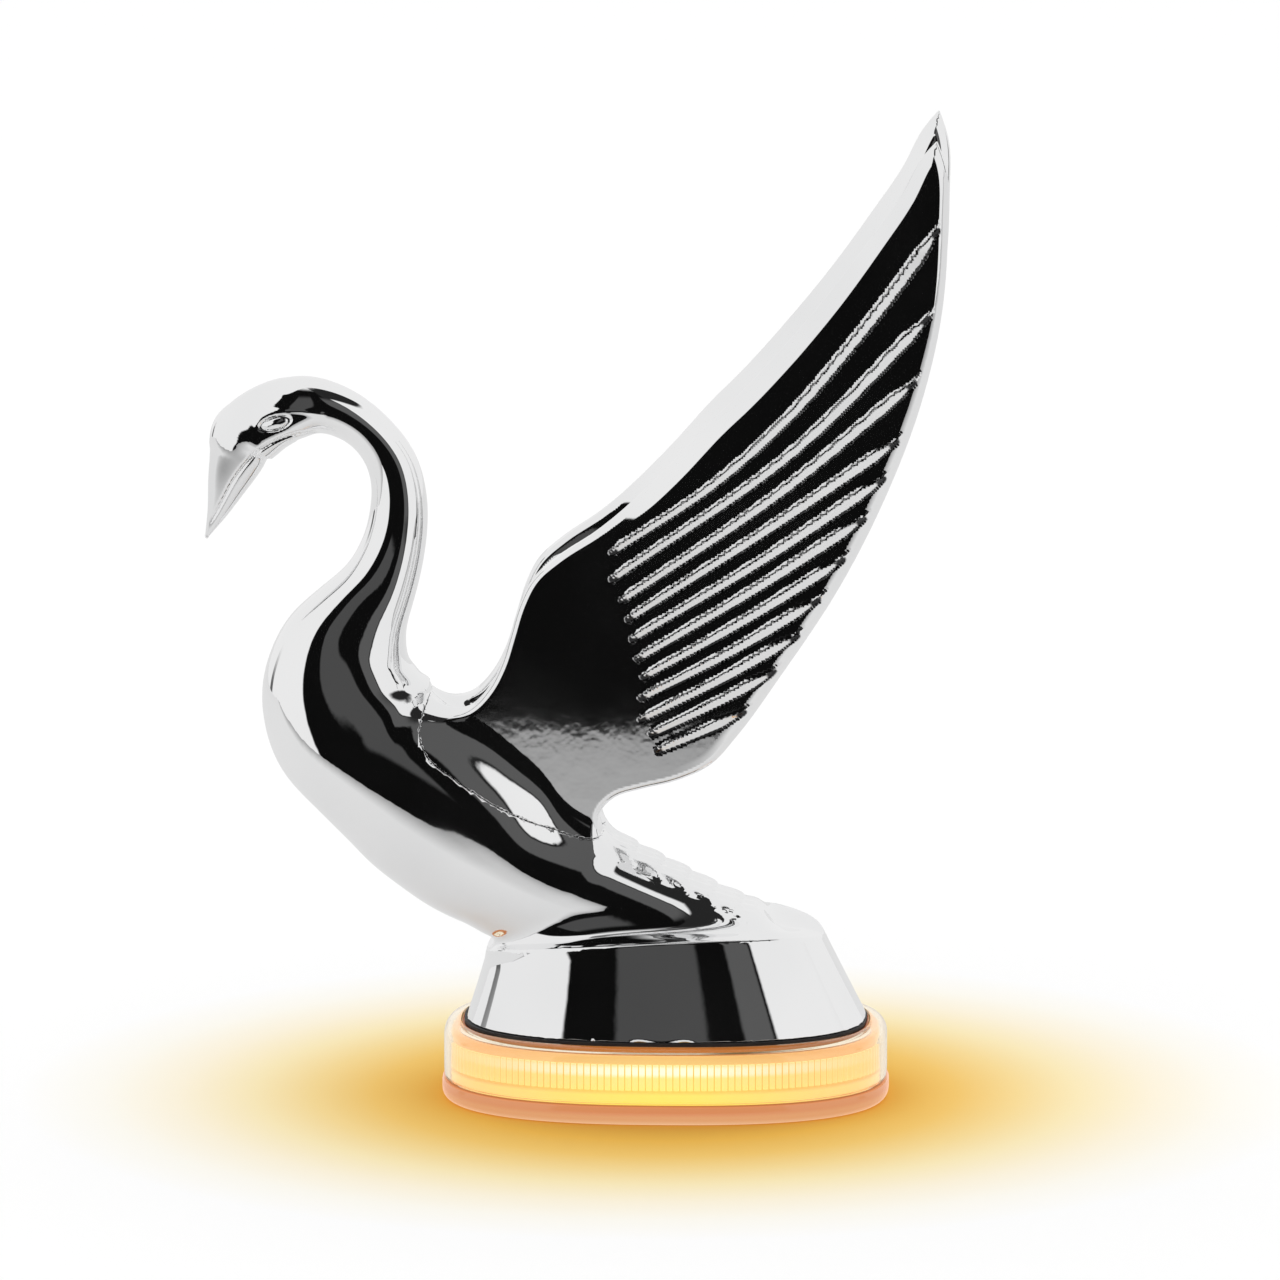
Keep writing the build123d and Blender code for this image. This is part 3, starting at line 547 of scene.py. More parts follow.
def skin(field, axes, shape, rounds=2):
    """Vertices on the field's zero surface, the quads between them, and exact normals."""
    values = sample_near_skin(field, axes)
    inside = values < 0
    n = [size - 1 for size in values.shape]
    count = np.zeros(n, np.int8)
    for dx, dy, dz in CORNERS:
        count += inside[dx:dx + n[0], dy:dy + n[1], dz:dz + n[2]]
    cells = np.argwhere((count > 0) & (count < 8))
    number = np.full(n, -1)
    number[tuple(cells.T)] = np.arange(len(cells))
    total, hits = np.zeros((len(cells), 3)), np.zeros(len(cells))
    for a in CORNERS:
        for k in range(3):
            if a[k]:
                continue
            b = list(a)
            b[k] = 1
            ia, ib = cells + a, cells + b
            va, vb = values[tuple(ia.T)], values[tuple(ib.T)]
            cut = (va < 0) != (vb < 0)
            share = np.where(cut, va / np.where(cut, va - vb, 1), 0)[:, None]
            pa = np.column_stack([axes[m][ia[:, m]] for m in range(3)])
            pb = np.column_stack([axes[m][ib[:, m]] for m in range(3)])
            total += np.where(cut[:, None], pa + (pb - pa) * share, 0)
            hits += cut
    points = total / hits[:, None]
    quads = []
    for k in range(3):
        p, q = [(1, 2), (2, 0), (0, 1)][k]
        low = [slice(1, -1)] * 3
        low[k] = slice(0, n[k])
        high = list(low)
        high[k] = slice(1, n[k] + 1)
        one, two = inside[tuple(low)], inside[tuple(high)]
        at = np.argwhere(one != two)
        outward = one[tuple(at.T)]
        at[:, p] += 1
        at[:, q] += 1
        around = []
        for dp, dq in ((0, 0), (1, 0), (1, 1), (0, 1)):
            cell = at.copy()
            cell[:, p] -= dp
            cell[:, q] -= dq
            around.append(number[tuple(cell.T)])
        quad = np.column_stack(around)
        quad[~outward] = quad[~outward][:, ::-1]
        quads.append(quad)
    quads = np.vstack(quads)
    limit = min(np.diff(axis).min() for axis in axes)
    for _ in range(rounds):
        value = field(points)
        slope = field_slope(field, points, value)
        square = np.maximum((slope ** 2).sum(1), 0.05)
        move = slope * (value / square)[:, None]
        length = np.linalg.norm(move, axis=1)[:, None]
        points = points - move * np.minimum(1, limit / np.maximum(length, 1e-9))
    on_shape = np.abs(shape(points)) < TOUCH
    slope = np.empty_like(points)
    slope[on_shape] = field_slope(shape, points[on_shape])
    slope[~on_shape] = field_slope(field, points[~on_shape])
    normals = slope / np.maximum(np.linalg.norm(slope, axis=1), 1e-9)[:, None]
    return points, quads, normals


# ---- objects ------------------------------------------------------------------------------------
def new_piece(name, points, faces, material, normals=None):
    """A mesh object at the origin that rides on the ornament's one body."""
    mesh = bpy.data.meshes.new(name)
    faces = [list(map(int, face)) for face in faces]
    mesh.from_pydata((np.asarray(points) * MM).tolist(), [], faces)
    mesh.update()
    mesh.shade_smooth()
    if normals is not None:
        mesh.normals_split_custom_set_from_vertices([tuple(n) for n in normals])
    piece = bpy.data.objects.new(name, mesh)
    bpy.context.scene.collection.objects.link(piece)
    piece.data.materials.append(material)
    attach(piece, "root")
    return piece


def oval_ring(half_x, half_y, count, power=OVAL_POWER):
    """Points on an oval, equally far apart along it."""
    turn = np.linspace(0, 2 * math.pi, 4001)
    c, s = np.cos(turn), np.sin(turn)
    fine = np.column_stack([half_x * np.sign(c) * np.abs(c) ** (2 / power),
                            half_y * np.sign(s) * np.abs(s) ** (2 / power)])
    run = np.concatenate([[0], np.cumsum(np.linalg.norm(np.diff(fine, axis=0), axis=1))])
    want = np.linspace(0, run[-1], count, endpoint=False)
    return np.column_stack([np.interp(want, run, fine[:, k]) for k in (0, 1)])


def ringed(rings, closed=True, caps=()):
    """Points and quads of a skin through rings of equal counts, each given as (xy, z)."""
    count = len(rings[0][0])
    points = np.vstack([np.column_stack([xy, np.broadcast_to(z, count)]) for xy, z in rings])
    faces = []
    spans = len(rings) if closed else len(rings) - 1
    step = np.arange(count)
    for k in range(spans):
        a, b = k * count, (k + 1) % len(rings) * count
        after = (step + 1) % count
        faces.append(np.column_stack([a + step, a + after, b + after, b + step]))
    faces = [list(face) for face in np.vstack(faces)]
    for ring, turned in caps:
        face = list(ring * count + step)
        faces.append(face[::-1] if turned else face)
    return points, faces


# ---- materials ----------------------------------------------------------------------------------
class Nodes:
    """Short hand for building a node tree."""

    def __init__(self, tree):
        self.tree = tree

    def add(self, kind, settings=None, **links):
        node = self.tree.nodes.new(kind)
        for key, value in (settings or {}).items():
            setattr(node, key, value)
        for key, value in links.items():
            self.set(node, key, value)
        return node

    def set(self, node, key, value):
        socket = node.inputs[int(key[1:])] if key[0] == "i" and key[1:].isdigit() else \
            node.inputs[key.replace("_", " ")]
        if isinstance(value, bpy.types.NodeSocket):
            self.tree.links.new(value, socket)
        else:
            socket.default_value = value

    def math(self, operation, a, b=0.0):
        node = self.add("ShaderNodeMath", {"operation": operation}, i0=a, i1=b)
        return node.outputs[0]

    def span(self, value, low, high, out_low=0.0, out_high=1.0, kind="SMOOTHSTEP"):
        node = self.add("ShaderNodeMapRange", {"interpolation_type": kind}, i0=value, i1=low, i2=high,
                        i3=out_low, i4=out_high)
        return node.outputs[0]

    def mix(self, share, a, b):
        node = self.add("ShaderNodeMix", {"data_type": "RGBA"}, i0=share, i6=a, i7=b)
        return node.outputs[2]


def new_material(name):
    """A material with its node helper and its Principled shader."""
    material = bpy.data.materials.new(name)
    material.use_nodes = True
    nodes = Nodes(material.node_tree)
    return material, nodes, material.node_tree.nodes["Principled BSDF"]


def group_sockets(group, inputs, outputs):
    for name, value in inputs:
        socket = group.interface.new_socket(name, in_out="INPUT", socket_type="NodeSocketFloat")
        socket.default_value = value
    for name, kind in outputs:
        group.interface.new_socket(name, in_out="OUTPUT", socket_type=kind)


def handling_group():
    """Faint cloudiness and waviness that plated and moulded surfaces share."""
    group = bpy.data.node_groups.new("handling_marks", "ShaderNodeTree")
    group_sockets(group, (("Scale", 60.0), ("Base Roughness", 0.05), ("Spread", 0.03)),
                  (("Roughness", "NodeSocketFloat"), ("Height", "NodeSocketFloat")))
    nodes = Nodes(group)
    given = nodes.add("NodeGroupInput")
    place = nodes.add("ShaderNodeTexCoord").outputs["Object"]
    cloud = nodes.add("ShaderNodeTexNoise", Vector=place, Scale=given.outputs["Scale"], Detail=3.0)
    fine = nodes.add("ShaderNodeTexNoise", Vector=place,
                     Scale=nodes.math("MULTIPLY", given.outputs["Scale"], 6.0), Detail=2.0)
    sway = nodes.math("MULTIPLY", nodes.span(cloud.outputs["Fac"], 0.35, 0.75), given.outputs["Spread"])
    rough = nodes.math("ADD", sway, given.outputs["Base Roughness"])
    given_out = nodes.add("NodeGroupOutput")
    nodes.set(given_out, "Roughness", rough)
    nodes.set(given_out, "Height", fine.outputs["Fac"])
    return group


HANDLING = handling_group()


def use_handling(nodes, shader, scale, rough, spread, bump):
    """Drive a shader's roughness and normal from the shared handling marks."""
    marks = nodes.add("ShaderNodeGroup", {"node_tree": HANDLING})
    nodes.set(marks, "Scale", scale)
    nodes.set(marks, "Base Roughness", rough)
    nodes.set(marks, "Spread", spread)
    nodes.set(shader, "Roughness", marks.outputs["Roughness"])
    if bump:
        lift = nodes.add("ShaderNodeBump", Strength=bump, Distance=0.0004, Height=marks.outputs["Height"])
        nodes.set(shader, "Normal", lift.outputs["Normal"])


def plain_material(name, colour, rough=0.5, metal=0.0, spread=0.08, scale=120.0, bump=0.15, coat=0.0):
    """An everyday finish: one colour with slight cloudiness, roughness spread and grain."""
    material, nodes, shader = new_material(name)
    place = nodes.add("ShaderNodeTexCoord").outputs["Object"]
    cloud = nodes.add("ShaderNodeTexNoise", Vector=place, Scale=scale * 0.7, Detail=3.0)
    darker = tuple(channel * 0.82 for channel in colour) + (1.0,)
    tone = nodes.mix(nodes.span(cloud.outputs["Fac"], 0.3, 0.7), darker, colour + (1.0,))
    nodes.set(shader, "Base Color", tone)
    nodes.set(shader, "Metallic", metal)
    nodes.set(shader, "Coat Weight", coat)
    use_handling(nodes, shader, scale, rough, spread, bump)
    return material


def chrome_material(name, shaded_grooves):
    """Bright plating; on the wings the walls of the feather grooves carry painted shade in place of dark
    reflections.
    """
    material, nodes, shader = new_material(name)
    place = nodes.add("ShaderNodeTexCoord").outputs["Object"]
    cloud = nodes.add("ShaderNodeTexNoise", Vector=place, Scale=25.0, Detail=2.0)
    tone = nodes.mix(nodes.span(cloud.outputs["Fac"], 0.3, 0.7),
                     (0.90, 0.902, 0.906, 1), (0.95, 0.95, 0.952, 1))
    if shaded_grooves:
        # Painted shade: the stored groove attribute darkens the plating's colour almost to black.
        shade = nodes.add("ShaderNodeAttribute", {"attribute_name": "painted_groove_shade"}).outputs["Fac"]
        tone = nodes.mix(nodes.span(shade, 0.15, 0.85, 0.0, 0.97), tone, (0.01, 0.01, 0.011, 1))
    nodes.set(shader, "Base Color", tone)
    nodes.set(shader, "Metallic", 1.0)
    use_handling(nodes, shader, 45.0, 0.02, 0.025, 0.02)
    return material


def lamp_heat(nodes):
    """How near a place on the light unit is to the hot middle of its long side, 0 to 1."""
    place = nodes.add("ShaderNodeTexCoord").outputs["Object"]
    parts = nodes.add("ShaderNodeSeparateXYZ", Vector=place)
    away = nodes.math("ABSOLUTE", parts.outputs["X"])
    return nodes.span(away, 0.0, 0.050, 1.0, 0.0), parts.outputs["Z"]


LEVEL_BLUR = 0.0006


def lit_material(name, levels, glow, base, rough=0.3):
    """Plastic lit from behind: levels are (height in mm, colour at the ends, colour in the middle)."""
    material, nodes, shader = new_material(name)
    heat, height = lamp_heat(nodes)
    tone = None
    for z, ends, middle in levels:
        colour = nodes.mix(heat, ends + (1.0,), middle + (1.0,))
        if tone is None:
            tone = colour
        else:
            change = (last_z + z) / 2 * MM
            tone = nodes.mix(nodes.span(height, change - LEVEL_BLUR, change + LEVEL_BLUR), tone, colour)
        last_z = z
    nodes.set(shader, "Base Color", base + (1.0,))
    nodes.set(shader, "Emission Color", tone)
    nodes.set(shader, "Emission Strength", glow)
    use_handling(nodes, shader, 90.0, rough, 0.05, 0.03)
    return material


def clear_amber_material(name, tint, rough, glow, strength):
    """Clear moulded amber plastic that carries some of the lamp's light."""
    material, nodes, shader = new_material(name)
    nodes.set(shader, "Base Color", tint + (1.0,))
    nodes.set(shader, "Transmission Weight", 1.0)
    nodes.set(shader, "IOR", 1.42)
    nodes.set(shader, "Emission Color", glow + (1.0,))
    nodes.set(shader, "Emission Strength", strength)
    use_handling(nodes, shader, 80.0, rough, 0.02, 0.02)
    return material


CHROME = chrome_material("bright_chrome", False)
CHROME_FLUTED = chrome_material("bright_chrome_fluted", True)
DIM_AMBER = (0.22, 0.11, 0.03)
LIT_FLUTES = lit_material("lit_amber_flutes", (
    (7.0, (0.95, 0.66, 0.26), (1.0, 0.86, 0.24)),
    (9.4, (0.93, 0.62, 0.24), (1.0, 0.84, 0.28)),
    (11.4, (0.93, 0.64, 0.27), (1.1, 1.05, 0.95)),
    (13.4, (0.93, 0.64, 0.30), (1.0, 0.80, 0.36)),
), 0.95, DIM_AMBER)
LIT_CORE = lit_material("lit_amber_core", (
    (5.5, (0.95, 0.66, 0.28), (1.0, 0.86, 0.15)),
    (8.2, (0.80, 0.36, 0.11), (0.95, 0.58, 0.10)),
    (14.0, (0.85, 0.42, 0.16), (0.95, 0.62, 0.16)),
), 0.9, DIM_AMBER)
LEDGE_GLOW = lit_material("lit_amber_ledge", (
    (13.0, (0.88, 0.48, 0.24), (0.95, 0.68, 0.28)),
    (14.6, (0.84, 0.40, 0.18), (0.92, 0.60, 0.24)),
), 0.85, DIM_AMBER)
RECESS_GLOW = lit_material("deep_amber_recess", (
    (14.0, (0.26, 0.06, 0.008), (0.55, 0.15, 0.02)),
), 0.8, (0.08, 0.03, 0.006))
TRAY_AMBER = lit_material("amber_tray_plastic", (
    (0.3, (0.80, 0.46, 0.24), (0.84, 0.52, 0.28)),
    (1.4, (0.72, 0.34, 0.15), (0.74, 0.36, 0.16)),
    (3.2, (0.66, 0.26, 0.11), (0.68, 0.24, 0.10)),
), 0.78, (0.2, 0.1, 0.045), rough=0.1)
SEAL_AMBER = lit_material("amber_silicone", (
    (4.2, (0.50, 0.15, 0.04), (0.62, 0.22, 0.05)),
), 0.7, (0.16, 0.06, 0.02))
CLEAR_AMBER = clear_amber_material("clear_amber_lens", (1.0, 0.95, 0.80), 0.02, (1.0, 0.62, 0.24), 0.05)
HOT_WHITE = lit_material("lamp_glints", (
    (10.0, (1.0, 0.92, 0.40), (1.0, 1.0, 0.8)),
), 1.3, (1.0, 0.9, 0.5))
RUBBER = plain_material("black_rubber", (0.012, 0.012, 0.014), rough=0.55, scale=300.0, bump=0.3)
FOAM = plain_material("closed_cell_foam", (0.03, 0.03, 0.033), rough=0.85, scale=700.0, bump=0.8)
BOARD = plain_material("white_board", (0.82, 0.82, 0.78), rough=0.4, bump=0.05)
LED_CASE = plain_material("led_case", (0.9, 0.89, 0.84), rough=0.35, bump=0.05)
REFLECTOR = plain_material("reflector_white", (0.9, 0.9, 0.88), rough=0.25, bump=0.05, coat=0.3)
BLACK_CHIP = plain_material("black_epoxy", (0.02, 0.02, 0.022), rough=0.45, scale=400.0)
TAN_CHIP = plain_material("tan_ceramic", (0.42, 0.29, 0.17), rough=0.5, scale=400.0)
TINNED = plain_material("tinned_metal", (0.72, 0.72, 0.72), rough=0.3, metal=1.0, bump=0.3)
ZINC = plain_material("zinc_plated_steel", (0.68, 0.69, 0.70), rough=0.28, metal=1.0, scale=300.0, bump=0.2)


NODE_FINISHES = {
    "foam_pad": FOAM, "lens_seal": RUBBER, "foot_gasket": RUBBER, "wire_grommet": RUBBER,
    "circuit_board": BOARD, "led_packages": LED_CASE, "led_domes": HOT_WHITE,
    "reflector": REFLECTOR, "resistors": BLACK_CHIP, "capacitors": TAN_CHIP,
    "rectifier_diode": BLACK_CHIP, "voltage_regulator": BLACK_CHIP, "wire_terminals": TINNED,
    "wing_screws": ZINC, "wing_washers": ZINC, "lens_screws": ZINC, "board_screws": ZINC,
    "retaining_screws": ZINC, "retaining_washers": ZINC,
}
for node_name, finish in NODE_FINISHES.items():
    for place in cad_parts[node_name].material_slots:
        place.material = finish


# ---- the castings -------------------------------------------------------------------------------
BODY_GRID, HEAD_GRID, RIDGE_GRID = 0.8, 0.34, 0.36
WING_GRID, WING_DEPTH_GRID = 0.43, 0.5
SEAT_CUT = 3.0


def cast_swan_body():
    """Body, head and foot, with the wing roots cut off along their seat."""
    axes = (
        axis_points((-99.6, -69.0, HEAD_GRID), (-69.0, 44.4, BODY_GRID)),
        axis_points((-30.0, -7.8, BODY_GRID), (-7.8, 7.8, RIDGE_GRID), (7.8, 30.0, BODY_GRID)),
        axis_points((FOOT_LOW_Z - 1.6, 117.0, BODY_GRID), (117.0, 155.6, HEAD_GRID)),
    )

    def below_seat(p):
        return np.maximum(swan_field(p), np.minimum(seat_field(p), SEAT_CUT))

    points, quads, normals = skin(below_seat, axes, shape=swan_field)
    piece = new_piece("swan_casting", points, quads, CHROME, normals)
    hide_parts("swan_body")


def cast_wings():
    """The fluted wings: one is worked out and the other is its mirror image."""
    axes = (
        axis_points((-58.0, 61.0, WING_GRID)),
        axis_points((-29.2, 0.2, WING_DEPTH_GRID)),
        axis_points((52.0, 211.0, WING_GRID)),
    )

    def above_seat(p):
        return np.maximum(np.maximum(swan_field(p), -seat_field(p)), p[:, 1])

    points, quads, normals = skin(above_seat, axes, shape=swan_field)
    flat = points[:, [0, 2]]
    # Painted shade for the groove walls and ends, stored on each wing for the plating's colour.
    dark = groove_marks(flat)[1] * smooth_step(-WING_OUTLINE.locate(flat)[2], 0.8, 1.8)
    for name, side in (("left_wing_casting", 1), ("right_wing_casting", -1)):
        turned = np.array([1, side, 1])
        faces = quads if side > 0 else quads[:, ::-1]
        piece = new_piece(name, points * turned, faces, CHROME_FLUTED, normals * turned)
        layer = piece.data.attributes.new("painted_groove_shade", "FLOAT", "POINT")
        layer.data.foreach_set("value", dark.astype(np.float32))
        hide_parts(name.replace("_casting", ""))


# ---- the light unit -----------------------------------------------------------------------------
LENS_HALF = (47.2, 33.6)
TRAY_HALF = (47.6, 34.0)
TRAY_TOP_Z = 4.0
LENS_LOW_Z = 4.35
LENS_TOP_Z = 16.3
LENS_EDGE = 3.0
LENS_WALL = 1.5
LEDGE_INSET = 3.9
RECESS_Z = 15.7
RING_STEPS = 220
SHARP_ANGLE = math.radians(35)
FLUTE_PITCH = 1.45
FLUTE_INSET = 2.4
FLUTE_RADIUS = 0.42 * FLUTE_PITCH
FLUTE_LOW_Z, FLUTE_HIGH_Z = 7.3, 12.7


def arc(centre_inset, centre_z, radius, start, end, steps=7):
    """Profile points (inset, z) on an arc; 0 degrees points outwards and 90 up."""
    turns = np.radians(np.linspace(start, end, steps))
    return [(centre_inset - radius * math.cos(t), centre_z + radius * math.sin(t)) for t in turns]


def oval_piece(name, half, profile, material, node, closed=True, caps=()):
    """A piece swept round an oval from a profile of (inset, z), going up on its outside."""
    rings = [(oval_ring(half[0] - inset, half[1] - inset, RING_STEPS), z) for inset, z in profile]
    points, faces = ringed(rings, closed=closed, caps=caps)
    piece = new_piece(name, points, faces, material)
    piece.data.set_sharp_from_angle(angle=SHARP_ANGLE)
    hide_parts(node)


def tray():
    outside = [(2.6, 0.0)] + arc(1.8, 1.8, 1.8, -80, 0) + [(0.0, 3.4), (0.25, TRAY_TOP_Z)]
    inside = [(2.4, TRAY_TOP_Z), (2.4, 2.2), (3.4, 1.1), (3.8, 0.0)]
    oval_piece("lens_tray_wall", TRAY_HALF, outside + inside, TRAY_AMBER, "lens_tray")
    floor = [(3.6, 1.2), (3.6, 2.4)]
    oval_piece("lens_tray_floor", TRAY_HALF, floor, TRAY_AMBER, "lens_tray",
               closed=False, caps=((0, True), (1, False)))
    seal = [(0.9, TRAY_TOP_Z), (0.7, TRAY_TOP_Z + 0.1), (0.7, LENS_LOW_Z - 0.1), (0.9, LENS_LOW_Z),
            (2.2, LENS_LOW_Z), (2.2, TRAY_TOP_Z)]
    oval_piece("lens_seal_ring", TRAY_HALF, seal, SEAL_AMBER, "lens_seal")


def lens_shell():
    outside = [(0.5, LENS_LOW_Z), (0.1, LENS_LOW_Z + 0.4), (0.0, 6.0)]
    outside += arc(LENS_EDGE, LENS_TOP_Z - LENS_EDGE, LENS_EDGE, 0, 90, 9)
    ledge = [(LEDGE_INSET - 0.3, LENS_TOP_Z), (LEDGE_INSET, LENS_TOP_Z - 0.3), (LEDGE_INSET, RECESS_Z),
             (6.2, RECESS_Z), (6.2, RECESS_Z - 1.0)]
    inner = LENS_EDGE - LENS_WALL
    inside = [(LEDGE_INSET + 0.4, RECESS_Z - 1.0), (LEDGE_INSET - 0.6, RECESS_Z - 0.9)]
    inside += arc(LENS_EDGE, LENS_TOP_Z - LENS_EDGE, inner, 90, 0, 5) + [(LENS_WALL, LENS_LOW_Z)]
    oval_piece("lens_shell", LENS_HALF, outside + ledge + inside, CLEAR_AMBER, "lens")


def lens_insides():
    """The lit surfaces inside the clear wall: the band behind the flutes, the ledge and the recess."""
    band = [(2.5, LENS_LOW_Z + 0.1), (1.75, LENS_LOW_Z + 0.4), (1.75, FLUTE_LOW_Z - 0.3),
            (2.35, FLUTE_LOW_Z), (2.35, FLUTE_HIGH_Z), (3.2, FLUTE_HIGH_Z), (3.2, LENS_LOW_Z + 0.1)]
    oval_piece("lens_glow_band", LENS_HALF, band, LIT_CORE, "lens")
    ledge = [(1.8, 12.9), (1.9, 13.6), (2.5, 14.3), (3.3, 14.5), (3.3, 12.9)]
    oval_piece("lens_ledge_core", LENS_HALF, ledge, LEDGE_GLOW, "lens")
    recess = [(3.95, 14.6), (3.95, 16.1), (4.05, 16.1), (4.15, 15.76), (6.0, 15.76), (6.0, 14.6)]
    oval_piece("lens_recess_wall", LENS_HALF, recess, RECESS_GLOW, "lens")


def flutes_tree():
    """Geometry nodes: upright half-round flutes spaced along a closed path."""
    tree = bpy.data.node_groups.new("lens_flutes", "GeometryNodeTree")
    face = tree.interface
    face.new_socket("Path", in_out="INPUT", socket_type="NodeSocketGeometry")
    inputs = {}
    for name, kind, value in (("Count", "NodeSocketInt", 100), ("Flute Radius", "NodeSocketFloat", 0.0006),
                              ("Flute Height", "NodeSocketFloat", 0.006),
                              ("Finish", "NodeSocketMaterial", None)):
        socket = face.new_socket(name, in_out="INPUT", socket_type=kind)
        if value is not None:
            socket.default_value = value
        inputs[name] = socket.identifier
    face.new_socket("Flutes", in_out="OUTPUT", socket_type="NodeSocketGeometry")
    nodes = Nodes(tree)
    given = nodes.add("NodeGroupInput")
    path = nodes.add("GeometryNodeMeshToCurve", Mesh=given.outputs["Path"]).outputs[0]
    spaced = nodes.add("GeometryNodeResampleCurve", Curve=path, Count=given.outputs["Count"]).outputs[0]
    bar = nodes.add("GeometryNodeMeshCylinder", {"fill_type": "NGON"}, Vertices=10,
                    Radius=given.outputs["Flute Radius"],
                    Depth=given.outputs["Flute Height"]).outputs["Mesh"]
    turned = nodes.add("FunctionNodeAlignRotationToVector", {"axis": "X"},
                       Vector=nodes.add("GeometryNodeInputTangent").outputs[0]).outputs[0]
    placed = nodes.add("GeometryNodeInstanceOnPoints", Points=spaced, Instance=bar,
                       Rotation=turned).outputs[0]
    real = nodes.add("GeometryNodeRealizeInstances", Geometry=placed).outputs[0]
    done = nodes.add("GeometryNodeSetMaterial", Geometry=real, Material=given.outputs["Finish"]).outputs[0]
    nodes.set(nodes.add("NodeGroupOutput"), "Flutes", done)
    return tree, inputs


def lens_flutes():
    path = oval_ring(LENS_HALF[0] - FLUTE_INSET, LENS_HALF[1] - FLUTE_INSET, 720)
    middle = (FLUTE_LOW_Z + FLUTE_HIGH_Z) / 2
    mesh = bpy.data.meshes.new("flute_path")
    edges = [(k, (k + 1) % len(path)) for k in range(len(path))]
    mesh.from_pydata([(x * MM, y * MM, middle * MM) for x, y in path], edges, [])
    piece = bpy.data.objects.new("lens_flutes", mesh)
    bpy.context.scene.collection.objects.link(piece)
    tree, inputs = flutes_tree()
    maker = piece.modifiers.new("flutes", "NODES")
    maker.node_group = tree
    around = np.linalg.norm(path - np.roll(path, 1, 0), axis=1).sum()
    maker[inputs["Count"]] = round(around / FLUTE_PITCH)
    maker[inputs["Flute Radius"]] = FLUTE_RADIUS * MM
    maker[inputs["Flute Height"]] = (FLUTE_HIGH_Z - FLUTE_LOW_Z) * MM
    maker[inputs["Finish"]] = LIT_FLUTES
    finished = bpy.data.meshes.new_from_object(piece.evaluated_get(bpy.context.evaluated_depsgraph_get()))
    piece.modifiers.clear()
    piece.data = finished
    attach(piece, "root")
    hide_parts("lens")


cast_swan_body()
cast_wings()
tray()
lens_shell()
lens_insides()
lens_flutes()

# ---- camera, floor and light --------------------------------------------------------------------
TURN, TILT, RANGE = math.radians(2.0), math.radians(10.25), 2.4
TARGET = Vector((-0.0055, 0.0, 0.098))
VIEW_WIDTH = 0.2714
SENSOR_WIDTH = 36.0


def set_camera():
    data = bpy.data.cameras.new("camera")
    data.sensor_width = SENSOR_WIDTH
    data.lens = SENSOR_WIDTH * RANGE / VIEW_WIDTH
    data.clip_start, data.clip_end = 0.05, 20.0
    camera = bpy.data.objects.new("camera", data)
    bpy.context.scene.collection.objects.link(camera)
    back = Vector((math.sin(TURN) * math.cos(TILT), -math.cos(TURN) * math.cos(TILT), math.sin(TILT)))
    camera.location = TARGET + back * RANGE
    camera.rotation_euler = (-back).to_track_quat("-Z", "Y").to_euler()
    bpy.context.scene.camera = camera


# The lamp's painted pool of light, darker next to the base as painted shade: distance from the middle
# (metres) and the floor's colour there.
PAINTED_LIGHT_POOL = (
    (0.036, (0.72, 0.40, 0.075)), (0.048, (0.88, 0.52, 0.10)), (0.062, (0.94, 0.62, 0.18)),
    (0.075, (0.97, 0.74, 0.33)), (0.088, (0.99, 0.85, 0.52)), (0.104, (1.0, 0.92, 0.74)),
    (0.120, (1.0, 0.975, 0.90)), (0.138, (1.0, 1.0, 1.0)),
)
POOL_REACH = 0.15
FLOOR_FRONT, FLOOR_BACK, FLOOR_SIDE = -0.30, 4.0, 3.0


def floor_material():
    """Pale floor with the lamp's amber pool of light painted round the ornament; what the plating mirrors
    of it is a painted neutral grey, darker towards the front edge.
    """
    material, nodes, shader = new_material("pale_floor")
    place = nodes.add("ShaderNodeTexCoord").outputs["Object"]
    reach = nodes.add("ShaderNodeVectorMath", {"operation": "LENGTH"}, i0=place).outputs["Value"]
    # Painted pool of lamp light on the floor, with painted shade close to the base.
    ramp = nodes.add("ShaderNodeValToRGB", Fac=nodes.math("DIVIDE", reach, POOL_REACH))
    stops = ramp.color_ramp.elements
    for _ in range(len(PAINTED_LIGHT_POOL) - 2):
        stops.new(0.5)
    for stop, (distance, colour) in zip(stops, PAINTED_LIGHT_POOL):
        stop.position = distance / POOL_REACH
        stop.color = colour + (1.0,)
    # Painted reflection: in glossy rays the floor is a neutral grey, darker towards its front edge.
    parts = nodes.add("ShaderNodeSeparateXYZ", Vector=place)
    depth = nodes.span(parts.outputs["Y"], FLOOR_FRONT, -0.17, 0.34, 0.76, kind="LINEAR")
    grey = nodes.add("ShaderNodeCombineColor", i0=depth, i1=depth, i2=depth).outputs[0]
    seen = nodes.add("ShaderNodeLightPath").outputs["Is Glossy Ray"]
    nodes.set(shader, "Base Color", nodes.mix(seen, ramp.outputs["Color"], grey))
    nodes.set(shader, "Roughness", 0.9)
    nodes.set(shader, "Specular IOR Level", 0.0)
    return material


def lay_floor():
    mesh = bpy.data.meshes.new("floor")
    corners = [(-FLOOR_SIDE, FLOOR_FRONT, 0), (FLOOR_SIDE, FLOOR_FRONT, 0),
               (FLOOR_SIDE, FLOOR_BACK, 0), (-FLOOR_SIDE, FLOOR_BACK, 0)]
    mesh.from_pydata(corners, [], [(0, 1, 2, 3)])
    floor = bpy.data.objects.new("floor", mesh)
    floor.data.materials.append(floor_material())
    bpy.context.scene.collection.objects.link(floor)


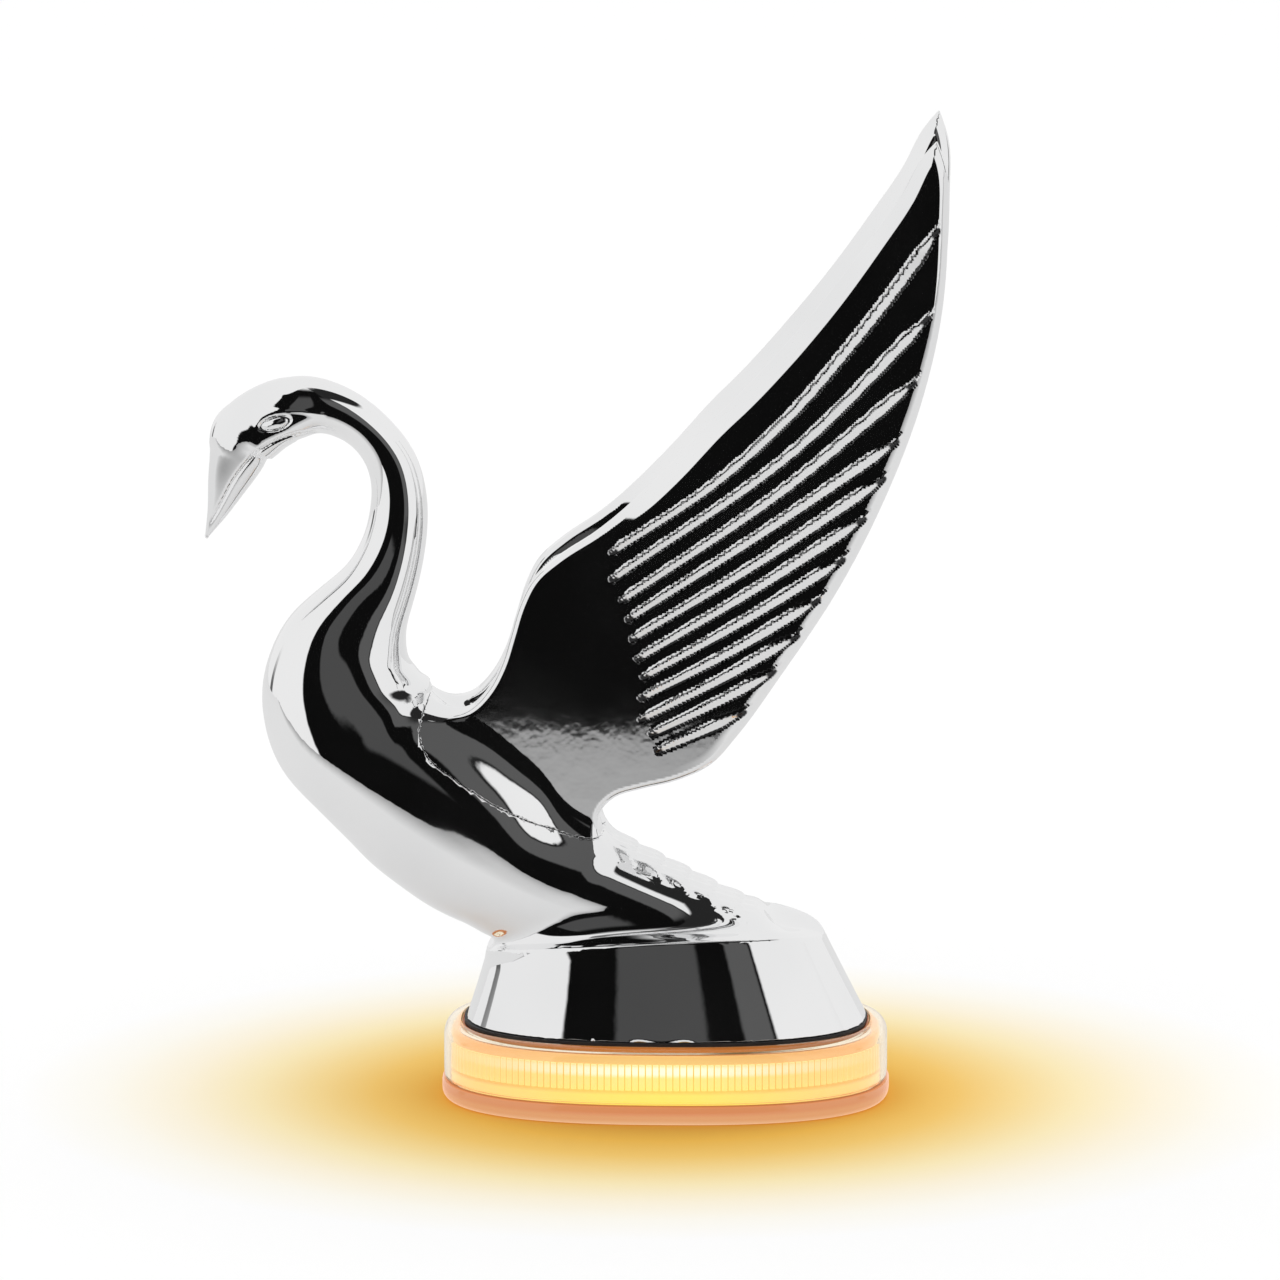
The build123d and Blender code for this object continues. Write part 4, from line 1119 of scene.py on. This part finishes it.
# What the plating mirrors, as patches of the studio: azimuth from the front (degrees, + to the
# right), half width, lowest and highest elevation, and the brightness there.
STUDIO_PATCHES = (
    (2.5, 35.0, -42.0, 80.0, 0.004),
    (70.0, 42.0, 50.0, 88.0, 0.02),
    (-2.0, 9.0, 2.0, 46.0, 0.07),
    (28.0, 7.5, -6.0, 46.0, 0.10),
    (104.0, 5.0, -10.0, 10.0, 0.08),
    (-112.0, 5.0, -10.0, 10.0, 0.12),
)
STUDIO_LEVEL = 0.86
PATCH_SIDE_BLUR, PATCH_LOW_BLUR, PATCH_HIGH_BLUR = 1.0, 2.0, 9.0


def light_studio():
    world = bpy.data.worlds.new("studio")
    bpy.context.scene.world = world
    world.use_nodes = True
    nodes = Nodes(world.node_tree)
    background = world.node_tree.nodes["Background"]
    way = nodes.add("ShaderNodeSeparateXYZ", Vector=nodes.add("ShaderNodeTexCoord").outputs["Generated"])
    turn = nodes.math("ARCTAN2", way.outputs["X"], nodes.math("MULTIPLY", way.outputs["Y"], -1.0))
    turn = nodes.math("MULTIPLY", turn, 180 / math.pi)
    tilt = nodes.math("MULTIPLY", nodes.math("ARCSINE", way.outputs["Z"]), 180 / math.pi)
    bright = STUDIO_LEVEL
    for azimuth, half_width, low, high, level in STUDIO_PATCHES:
        off = nodes.add("ShaderNodeMath", {"operation": "WRAP"}, i0=nodes.math("SUBTRACT", turn, azimuth),
                        i1=-180.0, i2=180.0).outputs[0]
        across = nodes.span(nodes.math("ABSOLUTE", off), half_width - PATCH_SIDE_BLUR,
                            half_width + PATCH_SIDE_BLUR, 1.0, 0.0)
        above = nodes.span(tilt, low - PATCH_LOW_BLUR, low + PATCH_LOW_BLUR)
        below = nodes.span(tilt, high - PATCH_HIGH_BLUR, high + PATCH_HIGH_BLUR, 1.0, 0.0)
        mask = nodes.math("MULTIPLY", across, nodes.math("MULTIPLY", above, below))
        bright = nodes.add("ShaderNodeMix", {"data_type": "FLOAT"}, i0=mask, i2=bright, i3=level).outputs[0]
    mirrored = nodes.add("ShaderNodeLightPath").outputs["Is Glossy Ray"]
    reflected = nodes.add("ShaderNodeCombineColor", i0=bright, i1=bright, i2=bright).outputs[0]
    nodes.set(background, "Color", nodes.mix(mirrored, (1.0, 1.0, 1.0, 1), reflected))
    background.inputs["Strength"].default_value = 1.0
    soft = bpy.data.lights.new("overhead_soft_box", "AREA")
    soft.size, soft.energy = 0.8, 0.4
    lamp = bpy.data.objects.new("overhead_soft_box", soft)
    lamp.location = (-0.2, 0.1, 1.2)
    lamp.visible_glossy = False
    bpy.context.scene.collection.objects.link(lamp)


set_camera()
lay_floor()
light_studio()
bpy.context.scene.view_settings.view_transform = "Standard"
